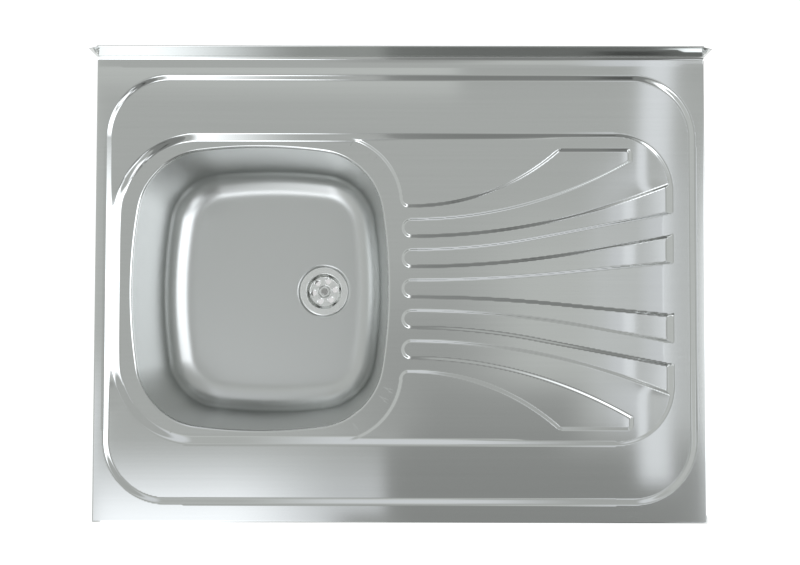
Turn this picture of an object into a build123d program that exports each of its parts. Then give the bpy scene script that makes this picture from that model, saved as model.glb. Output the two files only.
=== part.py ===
"""Lay-on kitchen sink: a pressed steel deck with drainboard, a drawn bowl, its waste and its fixings.

The frame is in millimetres, +X towards the drainboard, +Y towards the wall and +Z up. Z is 0 on the
cabinet's top edge, where the deck's folded hem sits, and X and Y are 0 in the middle of the deck.
"""

import os
from math import acos, asin, atan, cos, degrees, radians, sin, tan

from build123d import *

# ---------------------------------------------------------------- deck sheet
SHEET = 0.8  # steel thickness
DECK_WIDTH = 800.0
DECK_DEPTH = 610.0
DECK_HEIGHT = 40.0  # hem plane to the top of the border
CORNER_RADIUS = 2.5  # upright corners at the front
FOLD_RADIUS = 2.5  # outside of the fold between border and skirt
HEM_WIDTH = 12.0  # return flange that sits on the cabinet
HEM_LIP = 6.0  # upturned edge of that flange

# ---------------------------------------------------------------- border and ledge
BORDER_SIDE = 12.5  # flat border at the left and right
BORDER_FRONT = 22.0  # flat border at the front and back
LEDGE_CORNER = 84.0
LEDGE_DROP = 3.0
LEDGE_STEP_WIDTH = 7.0
LEDGE_ROUND = 6.0  # radii at the head and foot of the step

# ---------------------------------------------------------------- basin pressed into the ledge
BASIN_LEFT_MARGIN = 23.0  # deck's edge to the head of the basin's wall
BASIN_RIGHT_MARGIN = 42.0
BASIN_HALF_DEPTH = 205.0
BASIN_CORNER_LEFT = 110.0
BASIN_CORNER_RIGHT = 62.0
BASIN_DROP = 6.0
BASIN_WALL_WIDTH = 11.5
BASIN_ROUND = 5.0  # radii at the head and foot of the wall

# ---------------------------------------------------------------- drainboard
FAN_GAP = 30.5  # bowl's mouth to where the ribs' round noses end
FAN_PITCH = 20.0  # between neighbouring rib edges at the noses
FAN_FALL = 3.0  # fall from the right end to the noses
RIB_HEIGHT = 2.2
RIB_DRAFT = 45.0
CHANNEL_MARGIN = 54.0  # right end of the two outer channels to the basin's right edge
CHANNEL_EDGE = 184.0  # straight edge of the two outer channels
CHANNEL_CORNER = 6.0
SHOULDER_SETBACK = 105.0  # round noses' ends back to the middle of the round beside the bowl
SHOULDER_Y = 110.0
SHOULDER_RADIUS = 93.0
SHOULDER_FILLET = 8.0
SHOULDER_OVERLAP = 36.0  # from the channel's edge into the outer rib
# radius of each rib edge, then its straight run at the right end, from the middle outwards
FAN_EDGES = [(2000.0, 159.3), (1300.0, 122.1), (880.0, 189.6), (860.0, 60.4)]
OUTER_RIB_RADIUS = 575.0
SHOULDER_EDGE_RADIUS = 290.0

# ---------------------------------------------------------------- upstand at the wall
UPSTAND_HEIGHT = 37.0
UPSTAND_BEND = 4.5
UPSTAND_LEAN = 6.5  # degrees back from upright
UPSTAND_HEM = 9.0
UPSTAND_HEM_THICKNESS = 2.2

# ---------------------------------------------------------------- bowl
BOWL_MARGIN = 23.5  # basin's left edge to the bowl's mouth
BOWL_WIDTH = 338.0
BOWL_LENGTH = 373.0
BOWL_SIDE_RADIUS = 665.0  # the sides and ends bulge a little
BOWL_END_RADIUS = 650.0
BOWL_CORNER = 92.0
BOWL_DEPTH = 160.0
BOWL_DRAFT = 6.0
BOWL_FLOOR_RADIUS = 38.0
BOWL_LIP_RADIUS = 3.0
BOWL_NECK = 6.0  # depth of the deck's collar that the bowl is welded to

# ---------------------------------------------------------------- waste outlet
DRAIN_MARGIN = 96.5  # right edge of the bowl's mouth to the middle of the drain
DRAIN_HOLE_RADIUS = 26.0
DRAIN_SEAT_RADIUS = 36.5
DRAIN_SEAT_DEPTH = 4.0
DRAIN_SEAT_DRAFT = 20.0
STRAINER_RADIUS = 35.0
STRAINER_SHEET = 0.8
STRAINER_DISH_RADIUS = 24.5
STRAINER_DISH_DEPTH = 7.0
STRAINER_BEND = 1.2
STRAINER_DIMPLE_RADIUS = 8.5  # dimple for the screw's head
STRAINER_DIMPLE_DEPTH = 1.5
STRAINER_HOLES = 6
STRAINER_HOLE_RADIUS = 3.9
STRAINER_HOLE_CIRCLE = 15.8
STRAINER_TURN = 9.0  # degrees from +X to the first hole
STRAINER_SEAL_THICKNESS = 1.5
BOWL_SEAL_RADIUS = 35.0
BOWL_SEAL_THICKNESS = 3.0
SCREW_RADIUS = 3.0
SCREW_HEAD_RADIUS = 5.0
SCREW_HEAD_HEIGHT = 2.6
SCREW_LENGTH = 22.0
SCREW_SLOT_WIDTH = 1.3
SCREW_SLOT_DEPTH = 1.2
SCREW_SLOT_TURN = -35.0  # degrees from +X
SCREW_POINT = 0.6
WASHER_RADIUS = 7.0
WASHER_THICKNESS = 0.8
OUTLET_FLANGE_RADIUS = 39.0
OUTLET_FLANGE_THICKNESS = 4.0
OUTLET_WALL = 3.0
OUTLET_CUP_DEPTH = 20.0
OUTLET_TAIL_RADIUS = 23.9
OUTLET_TAIL_WALL = 3.0
OUTLET_TAIL_LENGTH = 22.0
HUB_RADIUS = 8.0
HUB_GAP = 0.9  # below the strainer's dimple
HUB_HEIGHT = 18.0
SPOKES = 3
SPOKE_THICKNESS = 2.4
INSERT_FLATS = 10.0
INSERT_HEIGHT = 8.0
RUN_GAP = 0.1  # radial gap round the screw and its washer

# ---------------------------------------------------------------- stiffeners and damping under the deck
RAIL_SHEET = 1.0
RAIL_FLANGE = 14.0
RAIL_GAP = 1.2  # between the rear rail's ends and the side hems
BEAM_SHEET = 1.0
BEAM_WIDTH = 22.0
BEAM_HEIGHT = 16.0
BEAM_FLANGE = 10.0
LEDGE_BEAM_MARGIN = 80.0  # deck's edge to the beam's end
LEDGE_BEAM_Y = 242.0
BOARD_BEAM_LENGTH = 300.0
BOARD_BEAM_LEFT = 95.0  # round noses' ends to the left beam's middle
BOARD_BEAM_RIGHT = 103.0  # the right beam's middle to the basin's right edge
PAD_MARGIN = 65.5  # left edge of the bowl's mouth to the pad
PAD_DRAIN_GAP = 56.0  # pad to the middle of the drain
PAD_LENGTH = 190.0
PAD_THICKNESS = 2.0
PAD_CORNER = 12.0

# ---------------------------------------------------------------- fixing clips and their screws
CABINET_WALL = 18.0  # the hem's outer edge to the cabinet's inner face
CLIP_MARGIN = 85.0  # deck's front or back edge to the clip's middle
CLIP_SHEET = 1.5
CLIP_WIDTH = 30.0
CLIP_LEG = 44.0  # below the hem plane
CLIP_CORNER = 6.0
CLIP_GAP = 0.3  # over and beside the hem's lip
CLIP_TONGUE = 4.5
CLIP_SLOT_WIDTH = 5.2
CLIP_SLOT_LENGTH = 16.0
CLIP_SLOT_DROP = 24.0  # hem plane to the slot's middle
CLIP_SLOT_TILT = 60.0  # degrees from level
CLIP_SCREW_RADIUS = 2.0
CLIP_SCREW_LENGTH = 16.0
CLIP_SCREW_POINT = 3.0
CLIP_SCREW_HEAD_RADIUS = 4.2
CLIP_SCREW_HEAD_HEIGHT = 2.4
CLIP_SCREW_SLOT = 1.0

# ---------------------------------------------------------------- levels and places that follow
BASIN_LEFT = BASIN_LEFT_MARGIN - DECK_WIDTH / 2
BASIN_RIGHT = DECK_WIDTH / 2 - BASIN_RIGHT_MARGIN
BOWL_LEFT = BASIN_LEFT + BOWL_MARGIN
BOWL_RIGHT = BOWL_LEFT + BOWL_WIDTH
BOWL_X = (BOWL_LEFT + BOWL_RIGHT) / 2
DRAIN_X = BOWL_RIGHT - DRAIN_MARGIN
FAN_START = BOWL_RIGHT + FAN_GAP
LEDGE_Z = DECK_HEIGHT - LEDGE_DROP
BASIN_Z = LEDGE_Z - BASIN_DROP
LAND_Z = BASIN_Z + RIB_HEIGHT  # rib tops at the noses
FAN_REACH = BASIN_RIGHT + BASIN_WALL_WIDTH - FAN_START  # ribs run into the basin's right wall
FAN_SLOPE = FAN_FALL / (BASIN_RIGHT - FAN_START)
CHANNEL_REACH = BASIN_RIGHT - CHANNEL_MARGIN - FAN_START
NECK_Z = BASIN_Z - BOWL_NECK
FLOOR_Z = BASIN_Z - BOWL_DEPTH
SEAT_Z = FLOOR_Z - DRAIN_SEAT_DEPTH
STRAINER_Z = SEAT_Z + STRAINER_SEAL_THICKNESS  # underside of the strainer's flange
DISH_Z = STRAINER_Z - STRAINER_DISH_DEPTH  # underside of its perforated floor
DIMPLE_Z = DISH_Z - STRAINER_DIMPLE_DEPTH
WASHER_Z = DIMPLE_Z + STRAINER_SHEET
HEAD_Z = WASHER_Z + WASHER_THICKNESS
OUTLET_Z = SEAT_Z - SHEET - BOWL_SEAL_THICKNESS
CUP_RADIUS = DRAIN_HOLE_RADIUS
CUP_END_Z = OUTLET_Z - OUTLET_CUP_DEPTH
TAIL_BORE = OUTLET_TAIL_RADIUS - OUTLET_TAIL_WALL
TAIL_Z = CUP_END_Z - (CUP_RADIUS - TAIL_BORE)  # a 45 degree cone joins cup and tail
TAIL_END_Z = TAIL_Z - OUTLET_TAIL_LENGTH
HUB_Z = DIMPLE_Z - HUB_GAP
HUB_END_Z = HUB_Z - HUB_HEIGHT
BEND_Y = DECK_DEPTH / 2 - UPSTAND_BEND  # where the deck starts to bend up
HEM_INSIDE = DECK_WIDTH / 2 - HEM_WIDTH
CLIP_Y = DECK_DEPTH / 2 - CLIP_MARGIN
NEAR = 0.01  # how close to a level or a line counts as on it

os.makedirs("parts", exist_ok=True)


# ================================================================ pressed deck
def bowl_outline(z, grow=0.0):
    """The bowl's mouth: four wide arcs with round corners between them."""
    side_radius = BOWL_SIDE_RADIUS + grow
    end_radius = BOWL_END_RADIUS + grow
    side_centre = BOWL_SIDE_RADIUS - BOWL_WIDTH / 2
    end_centre = BOWL_END_RADIUS - BOWL_LENGTH / 2
    with BuildSketch(Plane.XY.offset(z)) as outline:
        with Locations((BOWL_X - side_centre, 0)):
            Circle(side_radius)
        with Locations((BOWL_X + side_centre, 0)):
            Circle(side_radius, mode=Mode.INTERSECT)
        with Locations((BOWL_X, -end_centre)):
            Circle(end_radius, mode=Mode.INTERSECT)
        with Locations((BOWL_X, end_centre)):
            Circle(end_radius, mode=Mode.INTERSECT)
        fillet(outline.vertices(), radius=BOWL_CORNER + grow)
    return outline.sketch


def basin_outline(z):
    """The recess that holds the bowl and the drainboard, with tighter corners at its right end."""
    with BuildSketch(Plane.XY.offset(z)) as outline:
        with Locations(((BASIN_RIGHT + BASIN_LEFT) / 2, 0)):
            Rectangle(BASIN_RIGHT - BASIN_LEFT, 2 * BASIN_HALF_DEPTH)
        fillet(outline.vertices().group_by(Axis.X)[0], radius=BASIN_CORNER_LEFT)
        fillet(outline.vertices().group_by(Axis.X)[-1], radius=BASIN_CORNER_RIGHT)
    return outline.sketch


def fan_edge(row, side):
    """One rib edge, from its nose to the right end: an arc, then its straight tangent."""
    radius, run = FAN_EDGES[row]
    angle = degrees(asin((FAN_REACH - run) / radius))
    start = (0, side * FAN_PITCH * (row + 0.5))
    arc = JernArc(start=start, tangent=(1, 0), radius=radius, arc_size=side * angle)
    end = (FAN_REACH, (arc @ 1).Y + side * run * tan(radians(angle)))
    Line(arc @ 1, end)
    return start, end


def middle_rib():
    """Outline of the rib on the middle line, measured from where the noses end."""
    with BuildSketch() as outline:
        with BuildLine():
            top, top_end = fan_edge(0, 1)
            bottom, bottom_end = fan_edge(0, -1)
            ThreePointArc(top, (-FAN_PITCH / 2, 0), bottom)
            Line(top_end, bottom_end)
        make_face()
    return outline.sketch


def inner_rib():
    """Outline of the rib next to the middle one, measured from where the noses end."""
    with BuildSketch() as outline:
        with BuildLine():
            near, near_end = fan_edge(1, 1)
            far, far_end = fan_edge(2, 1)
            ThreePointArc(near, (-FAN_PITCH / 2, 2 * FAN_PITCH), far)
            Line(near_end, far_end)
        make_face()
    return outline.sketch


def outer_rib():
    """Outline of the rib beside the outer channel, measured from where the noses end."""
    with BuildSketch() as outline:
        with BuildLine():
            near, near_end = fan_edge(3, 1)
            nose = (0, 4.5 * FAN_PITCH)
            ThreePointArc(near, (-FAN_PITCH / 2, 4 * FAN_PITCH), nose)
            rib_angle = degrees(asin(CHANNEL_REACH / OUTER_RIB_RADIUS))
            rib = JernArc(start=nose, tangent=(1, 0), radius=OUTER_RIB_RADIUS, arc_size=rib_angle)
            far_end = (FAN_REACH, (rib @ 1).Y)
            Line(rib @ 1, far_end)
            Line(far_end, near_end)
        make_face()
    return outline.sketch


def shoulder():
    """Outline of the flat past the outer channel, which sweeps round beside the bowl."""
    centre = (-SHOULDER_SETBACK, SHOULDER_Y)
    foot = (SHOULDER_RADIUS - SHOULDER_SETBACK, SHOULDER_Y)
    outside = BASIN_HALF_DEPTH + BASIN_WALL_WIDTH
    corner = (CHANNEL_REACH, CHANNEL_EDGE)
    inside = CHANNEL_EDGE - SHOULDER_OVERLAP
    edge_angle = degrees(acos(1 - (CHANNEL_EDGE - SHOULDER_Y) / SHOULDER_EDGE_RADIUS))
    with BuildSketch() as outline:
        with BuildLine():
            edge = JernArc(
                start=(0, SHOULDER_Y), tangent=(1, 0), radius=SHOULDER_EDGE_RADIUS, arc_size=edge_angle
            )
            Polyline(edge @ 1, corner, (CHANNEL_REACH, inside), (FAN_REACH, inside))
            Polyline((FAN_REACH, inside), (FAN_REACH, outside), (centre[0], outside))
            bend = CenterArc(centre, SHOULDER_RADIUS, 0, 90)
            Line((centre[0], outside), bend @ 1)
            Line(foot, (0, SHOULDER_Y))
        make_face()
        fillet(outline.vertices().sort_by_distance(foot)[0], radius=SHOULDER_FILLET)
        fillet(outline.vertices().sort_by_distance(corner)[0], radius=CHANNEL_CORNER)
    return outline.sketch


def level_face(block, z):
    """The widest level face of a block at height z."""
    level = block.faces().filter_by(Axis.Z).filter_by_position(Axis.Z, z - NEAR, z + NEAR)
    return level.sort_by(SortBy.AREA)[-1]


def pressing(depth, mouth_depth):
    """The solid under the deck's surface, depth below its visible face.

    Depth 0 gives the visible face and SHEET the hidden one, and the sheet lies between them.
    """
    ledge_draft = degrees(atan(LEDGE_STEP_WIDTH / LEDGE_DROP))
    basin_draft = degrees(atan(BASIN_WALL_WIDTH / BASIN_DROP))
    top = DECK_HEIGHT - depth
    ledge = LEDGE_Z - depth
    basin = BASIN_Z - depth
    with BuildPart() as block:
        with BuildSketch():
            with Locations((0, BEND_Y)):
                front_to_bend = BEND_Y + DECK_DEPTH / 2 - depth
                Rectangle(DECK_WIDTH - 2 * depth, front_to_bend, align=(Align.CENTER, Align.MAX))
        extrude(amount=top)
        front_corners = block.edges().filter_by(Axis.Z).group_by(Axis.Y)[0]
        fillet(front_corners, radius=CORNER_RADIUS - depth)
        rim = level_face(block, top).edges().filter_by(lambda e: e.center().Y < BEND_Y - NEAR)
        fillet(rim, radius=FOLD_RADIUS - depth)
        # step down to the ledge
        with BuildSketch(Plane.XY.offset(top)):
            ledge_width = DECK_WIDTH - 2 * BORDER_SIDE
            ledge_depth = DECK_DEPTH - 2 * BORDER_FRONT
            RectangleRounded(ledge_width, ledge_depth, LEDGE_CORNER)
        extrude(amount=-LEDGE_DROP, taper=ledge_draft, mode=Mode.SUBTRACT)
        # wall down to the basin
        add(basin_outline(ledge))
        extrude(amount=-BASIN_DROP, taper=basin_draft, mode=Mode.SUBTRACT)
        fillet(level_face(block, basin).edges(), radius=BASIN_ROUND + depth)
        fillet(level_face(block, ledge).inner_wires()[0].edges(), radius=BASIN_ROUND - depth)
        fillet(level_face(block, ledge).outer_wire().edges(), radius=LEDGE_ROUND + depth)
        fillet(level_face(block, top).inner_wires()[0].edges(), radius=LEDGE_ROUND - depth)
        # floor of the channels, which falls towards the bowl
        with BuildSketch(Plane.XZ.offset(-BASIN_HALF_DEPTH)):
            with BuildLine():
                start = (FAN_START, basin)
                end = (FAN_START + FAN_REACH, basin + FAN_REACH * FAN_SLOPE)
                below = basin - BASIN_DROP
                Polyline(start, end, (end[0], below), (FAN_START, below), close=True)
            make_face()
        extrude(amount=2 * BASIN_HALF_DEPTH)
        # ribs and shoulders
        rib_tops = Plane(
            origin=(FAN_START, 0, LAND_Z - depth),
            x_dir=(1, 0, FAN_SLOPE),
            z_dir=(-FAN_SLOPE, 0, 1),
        )
        with BuildSketch(rib_tops):
            add(middle_rib())
        extrude(amount=-2 * RIB_HEIGHT, taper=-RIB_DRAFT)
        for outline in (inner_rib(), outer_rib(), shoulder()):
            with BuildSketch(rib_tops):
                add(outline)
            extrude(amount=-2 * RIB_HEIGHT, taper=-RIB_DRAFT)
            with BuildSketch(rib_tops):
                mirror(outline, about=Plane.XZ)
            extrude(amount=-2 * RIB_HEIGHT, taper=-RIB_DRAFT)
        # mouth of the bowl, with a rolled lip
        add(bowl_outline(ledge, depth))
        extrude(amount=-mouth_depth, mode=Mode.SUBTRACT)
        lip = block.edges(Select.LAST).group_by(Axis.Z)[-1]
        fillet(lip, radius=BOWL_LIP_RADIUS - depth)
    return block.part


deck_outside = pressing(0.0, mouth_depth=DECK_HEIGHT)
deck_inside = pressing(SHEET, mouth_depth=LEDGE_Z - SHEET - NECK_Z)

with BuildPart() as deck:
    add(deck_outside)
    add(deck_inside, mode=Mode.SUBTRACT)
    # folded hem and its upturned lip, open towards the wall
    with BuildSketch() as hem:
        with Locations((0, BEND_Y)):
            hem_depth = BEND_Y + DECK_DEPTH / 2
            Rectangle(DECK_WIDTH, hem_depth, align=(Align.CENTER, Align.MAX))
            fillet(hem.vertices().group_by(Axis.Y)[0], radius=CORNER_RADIUS)
            inside = (2 * HEM_INSIDE, hem_depth - HEM_WIDTH)
            Rectangle(*inside, align=(Align.CENTER, Align.MAX), mode=Mode.SUBTRACT)
    extrude(amount=SHEET)
    with BuildSketch():
        with Locations((0, BEND_Y)):
            outside = (2 * HEM_INSIDE + 2 * SHEET, hem_depth - HEM_WIDTH + SHEET)
            Rectangle(*outside, align=(Align.CENTER, Align.MAX))
            Rectangle(*inside, align=(Align.CENTER, Align.MAX), mode=Mode.SUBTRACT)
    extrude(amount=SHEET + HEM_LIP)
    # upstand with its hemmed top edge
    with BuildSketch(Plane.YZ):
        with BuildLine() as upstand_line:
            bend = JernArc(
                start=(BEND_Y, DECK_HEIGHT - SHEET / 2),
                tangent=(1, 0),
                radius=UPSTAND_BEND + SHEET / 2,
                arc_size=90 - UPSTAND_LEAN,
            )
            lean = radians(UPSTAND_LEAN)
            roll_radius = (UPSTAND_HEM_THICKNESS - SHEET) / 2
            rise = DECK_HEIGHT + UPSTAND_HEIGHT - roll_radius - SHEET / 2 - (bend @ 1).Y
            face_length = rise / cos(lean)
            face = Line(bend @ 1, (bend @ 1) + Vector(sin(lean), cos(lean)) * face_length)
            roll = JernArc(start=face @ 1, tangent=face % 1, radius=roll_radius, arc_size=-180)
            Line(roll @ 1, (roll @ 1) + (roll % 1) * UPSTAND_HEM)
        trace(line_width=SHEET)
    extrude(amount=DECK_WIDTH / 2, both=True)
deck.part.label = "deck"
export_step(deck.part, "parts/deck.step")

# ================================================================ bowl
seat_foot_radius = DRAIN_SEAT_RADIUS - DRAIN_SEAT_DEPTH * tan(radians(DRAIN_SEAT_DRAFT))
drain = (DRAIN_X, 0)
drain_axis = Axis((DRAIN_X, 0, 0), (0, 0, 1))
drain_section = Plane(origin=(DRAIN_X, 0, 0), x_dir=(1, 0, 0), z_dir=(0, -1, 0))

with BuildPart() as bowl_outside:
    add(bowl_outline(NECK_Z, SHEET))
    extrude(amount=FLOOR_Z - SHEET - NECK_Z, taper=BOWL_DRAFT)
    fillet(bowl_outside.edges().group_by(Axis.Z)[0], radius=BOWL_FLOOR_RADIUS + SHEET)
    with BuildSketch(Plane.XY.offset(SEAT_Z - SHEET)):
        with Locations(drain):
            Circle(seat_foot_radius + SHEET)
    extrude(amount=DRAIN_SEAT_DEPTH, taper=-DRAIN_SEAT_DRAFT)

with BuildPart() as bowl_inside:
    add(bowl_outline(NECK_Z))
    extrude(amount=FLOOR_Z - NECK_Z, taper=BOWL_DRAFT)
    fillet(bowl_inside.edges().group_by(Axis.Z)[0], radius=BOWL_FLOOR_RADIUS)
    with BuildSketch(Plane.XY.offset(SEAT_Z)):
        with Locations(drain):
            Circle(seat_foot_radius)
    extrude(amount=DRAIN_SEAT_DEPTH, taper=-DRAIN_SEAT_DRAFT)

with BuildPart() as bowl:
    add(bowl_outside.part)
    add(bowl_inside.part, mode=Mode.SUBTRACT)
    with Locations((DRAIN_X, 0, SEAT_Z)):
        Hole(radius=DRAIN_HOLE_RADIUS, depth=2 * SHEET)
bowl.part.label = "bowl"
export_step(bowl.part, "parts/bowl.step")

# ================================================================ stiffeners under the deck
rail_length = 2 * (HEM_INSIDE - RAIL_GAP)
rail_height = DECK_HEIGHT - SHEET

with BuildPart() as rear_rail:
    with BuildSketch(Plane.YZ):
        with Locations((BEND_Y, 0)):
            Rectangle(RAIL_FLANGE, rail_height, align=(Align.MAX, Align.MIN))
        with Locations((BEND_Y - RAIL_SHEET, RAIL_SHEET)):
            hollow = (RAIL_FLANGE, rail_height - 2 * RAIL_SHEET)
            Rectangle(*hollow, align=(Align.MAX, Align.MIN), mode=Mode.SUBTRACT)
    extrude(amount=rail_length / 2, both=True)
rear_rail.part.label = "rear_rail"
export_step(rear_rail.part, "parts/rear_rail.step")


def hat_section():
    """Face of a stiffening beam: a trough with two flanges, whose tops lie on the X axis."""
    with BuildSketch() as section:
        Rectangle(BEAM_WIDTH + 2 * BEAM_FLANGE, BEAM_SHEET, align=(Align.CENTER, Align.MAX))
        Rectangle(BEAM_WIDTH, BEAM_HEIGHT, align=(Align.CENTER, Align.MAX))
        trough = (BEAM_WIDTH - 2 * BEAM_SHEET, BEAM_HEIGHT - BEAM_SHEET)
        Rectangle(*trough, align=(Align.CENTER, Align.MAX), mode=Mode.SUBTRACT)
    return section.sketch


for place, side in (("front", -1), ("rear", 1)):
    with BuildPart() as ledge_beam:
        beam_end = (LEDGE_BEAM_MARGIN - DECK_WIDTH / 2, side * LEDGE_BEAM_Y, LEDGE_Z - SHEET)
        with BuildSketch(Plane(origin=beam_end, x_dir=(0, 1, 0), z_dir=(1, 0, 0))):
            add(hat_section())
        extrude(amount=DECK_WIDTH - 2 * LEDGE_BEAM_MARGIN)
    ledge_beam.part.label = f"{place}_beam"
    export_step(ledge_beam.part, f"parts/{place}_beam.step")

board_beam_x = {"left": FAN_START + BOARD_BEAM_LEFT, "right": BASIN_RIGHT - BOARD_BEAM_RIGHT}
for place, beam_x in board_beam_x.items():
    with BuildPart() as board_beam:
        beam_z = BASIN_Z - SHEET + (beam_x - FAN_START) * FAN_SLOPE
        beam_end = (beam_x, BOARD_BEAM_LENGTH / 2, beam_z)
        with BuildSketch(Plane(origin=beam_end, x_dir=(1, 0, FAN_SLOPE), z_dir=(0, -1, 0))):
            add(hat_section())
        extrude(amount=BOARD_BEAM_LENGTH)
    board_beam.part.label = f"drainboard_beam_{place}"
    export_step(board_beam.part, f"parts/drainboard_beam_{place}.step")

with BuildPart() as damping_pad:
    with BuildSketch(Plane.XY.offset(FLOOR_Z - SHEET)):
        pad_left = BOWL_LEFT + PAD_MARGIN
        pad_right = DRAIN_X - PAD_DRAIN_GAP
        with Locations(((pad_left + pad_right) / 2, 0)):
            RectangleRounded(pad_right - pad_left, PAD_LENGTH, PAD_CORNER)
    extrude(amount=-PAD_THICKNESS)
damping_pad.part.label = "damping_pad"
export_step(damping_pad.part, "parts/damping_pad.step")

# ================================================================ waste outlet
with BuildPart() as strainer_seal:
    with BuildSketch(Plane.XY.offset(SEAT_Z)):
        with Locations(drain):
            Circle(seat_foot_radius - RUN_GAP)
            Circle(DRAIN_HOLE_RADIUS, mode=Mode.SUBTRACT)
    extrude(amount=STRAINER_SEAL_THICKNESS)
strainer_seal.part.label = "strainer_seal"
export_step(strainer_seal.part, "parts/strainer_seal.step")

bore = SCREW_RADIUS + RUN_GAP
dish_inside = STRAINER_DISH_RADIUS - STRAINER_SHEET
dimple_edge = STRAINER_DIMPLE_RADIUS + STRAINER_DIMPLE_DEPTH
flange_top = STRAINER_Z + STRAINER_SHEET
dish_top = DISH_Z + STRAINER_SHEET

with BuildPart() as strainer:
    with BuildSketch(drain_section) as strainer_profile:
        with BuildLine():
            Polyline(
                (bore, DIMPLE_Z),
                (STRAINER_DIMPLE_RADIUS, DIMPLE_Z),
                (dimple_edge, DISH_Z),
                (STRAINER_DISH_RADIUS, DISH_Z),
                (STRAINER_DISH_RADIUS, STRAINER_Z),
                (STRAINER_RADIUS, STRAINER_Z),
                (STRAINER_RADIUS, flange_top),
                (dish_inside, flange_top),
                (dish_inside, dish_top),
                (dimple_edge, dish_top),
                (STRAINER_DIMPLE_RADIUS, WASHER_Z),
                (bore, WASHER_Z),
                close=True,
            )
        make_face()
        corners = strainer_profile.vertices()
        rim_bend = corners.sort_by_distance((dish_inside, flange_top))[0]
        floor_bend = corners.sort_by_distance((STRAINER_DISH_RADIUS, DISH_Z))[0]
        fillet([rim_bend, floor_bend], radius=STRAINER_BEND)
    revolve(axis=drain_axis)
    with Locations((DRAIN_X, 0, dish_top)):
        with PolarLocations(STRAINER_HOLE_CIRCLE, STRAINER_HOLES, STRAINER_TURN):
            Hole(radius=STRAINER_HOLE_RADIUS, depth=2 * STRAINER_SHEET)
strainer.part.label = "strainer"
export_step(strainer.part, "parts/strainer.step")

with BuildPart() as screw_washer:
    with BuildSketch(Plane.XY.offset(WASHER_Z)):
        with Locations(drain):
            Circle(WASHER_RADIUS)
            Circle(bore, mode=Mode.SUBTRACT)
    extrude(amount=WASHER_THICKNESS)
screw_washer.part.label = "screw_washer"
export_step(screw_washer.part, "parts/screw_washer.step")

head_top = HEAD_Z + SCREW_HEAD_HEIGHT
screw_end = HEAD_Z - SCREW_LENGTH

with BuildPart() as strainer_screw:
    with BuildSketch(drain_section) as screw_profile:
        with BuildLine():
            Polyline(
                (0, screw_end),
                (SCREW_RADIUS - SCREW_POINT, screw_end),
                (SCREW_RADIUS, screw_end + SCREW_POINT),
                (SCREW_RADIUS, HEAD_Z),
                (SCREW_HEAD_RADIUS, HEAD_Z),
                (SCREW_HEAD_RADIUS, head_top),
                (0, head_top),
                close=True,
            )
        make_face()
        head_edge = screw_profile.vertices().sort_by_distance((SCREW_HEAD_RADIUS, head_top))[0]
        fillet(head_edge, radius=SCREW_HEAD_HEIGHT / 2)
    revolve(axis=drain_axis)
    with BuildSketch(Plane.XY.offset(head_top)):
        with Locations(Location((DRAIN_X, 0, 0), (0, 0, SCREW_SLOT_TURN))):
            Rectangle(2 * SCREW_HEAD_RADIUS, SCREW_SLOT_WIDTH)
    extrude(amount=-SCREW_SLOT_DEPTH, mode=Mode.SUBTRACT)
strainer_screw.part.label = "strainer_screw"
export_step(strainer_screw.part, "parts/strainer_screw.step")

with BuildPart() as bowl_seal:
    with BuildSketch(Plane.XY.offset(OUTLET_Z)):
        with Locations(drain):
            Circle(BOWL_SEAL_RADIUS)
            Circle(DRAIN_HOLE_RADIUS, mode=Mode.SUBTRACT)
    extrude(amount=BOWL_SEAL_THICKNESS)
bowl_seal.part.label = "bowl_seal"
export_step(bowl_seal.part, "parts/bowl_seal.step")

cup_outside = CUP_RADIUS + OUTLET_WALL
flange_foot = OUTLET_Z - OUTLET_FLANGE_THICKNESS
cone_end = TAIL_Z + (cup_outside - OUTLET_TAIL_RADIUS) - (CUP_RADIUS - TAIL_BORE)

with BuildPart() as outlet_body:
    with BuildSketch(drain_section):
        with BuildLine():
            Polyline(
                (CUP_RADIUS, OUTLET_Z),
                (OUTLET_FLANGE_RADIUS, OUTLET_Z),
                (OUTLET_FLANGE_RADIUS, flange_foot),
                (cup_outside, flange_foot),
                (cup_outside, CUP_END_Z),
                (OUTLET_TAIL_RADIUS, TAIL_Z),
                (OUTLET_TAIL_RADIUS, TAIL_END_Z),
                (TAIL_BORE, TAIL_END_Z),
                (TAIL_BORE, TAIL_Z),
                (CUP_RADIUS, CUP_END_Z),
                close=True,
            )
        make_face()
    revolve(axis=drain_axis)
    with BuildSketch(Plane.XY.offset(HUB_END_Z)):
        with Locations(drain):
            Circle(HUB_RADIUS)
    extrude(amount=HUB_HEIGHT)
    with BuildSketch(Plane.XY.offset(CUP_END_Z)):
        with Locations(drain):
            with PolarLocations(0, SPOKES, STRAINER_TURN + 180 / STRAINER_HOLES):
                spoke = (CUP_RADIUS + OUTLET_WALL / 2, SPOKE_THICKNESS)
                Rectangle(*spoke, align=(Align.MIN, Align.CENTER))
    extrude(amount=HUB_Z - CUP_END_Z)
    with Locations((DRAIN_X, 0, HUB_Z)):
        Hole(radius=bore, depth=HUB_HEIGHT)
    with BuildSketch(Plane.XY.offset(HUB_END_Z)):
        with Locations(drain):
            RegularPolygon(INSERT_FLATS / 2, 6, major_radius=False)
    extrude(amount=INSERT_HEIGHT, mode=Mode.SUBTRACT)
outlet_body.part.label = "outlet_body"
export_step(outlet_body.part, "parts/outlet_body.step")

with BuildPart() as insert_nut:
    with BuildSketch(Plane.XY.offset(HUB_END_Z)):
        with Locations(drain):
            RegularPolygon(INSERT_FLATS / 2, 6, major_radius=False)
            Circle(bore, mode=Mode.SUBTRACT)
    extrude(amount=INSERT_HEIGHT)
insert_nut.part.label = "insert_nut"
export_step(insert_nut.part, "parts/insert_nut.step")

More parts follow.
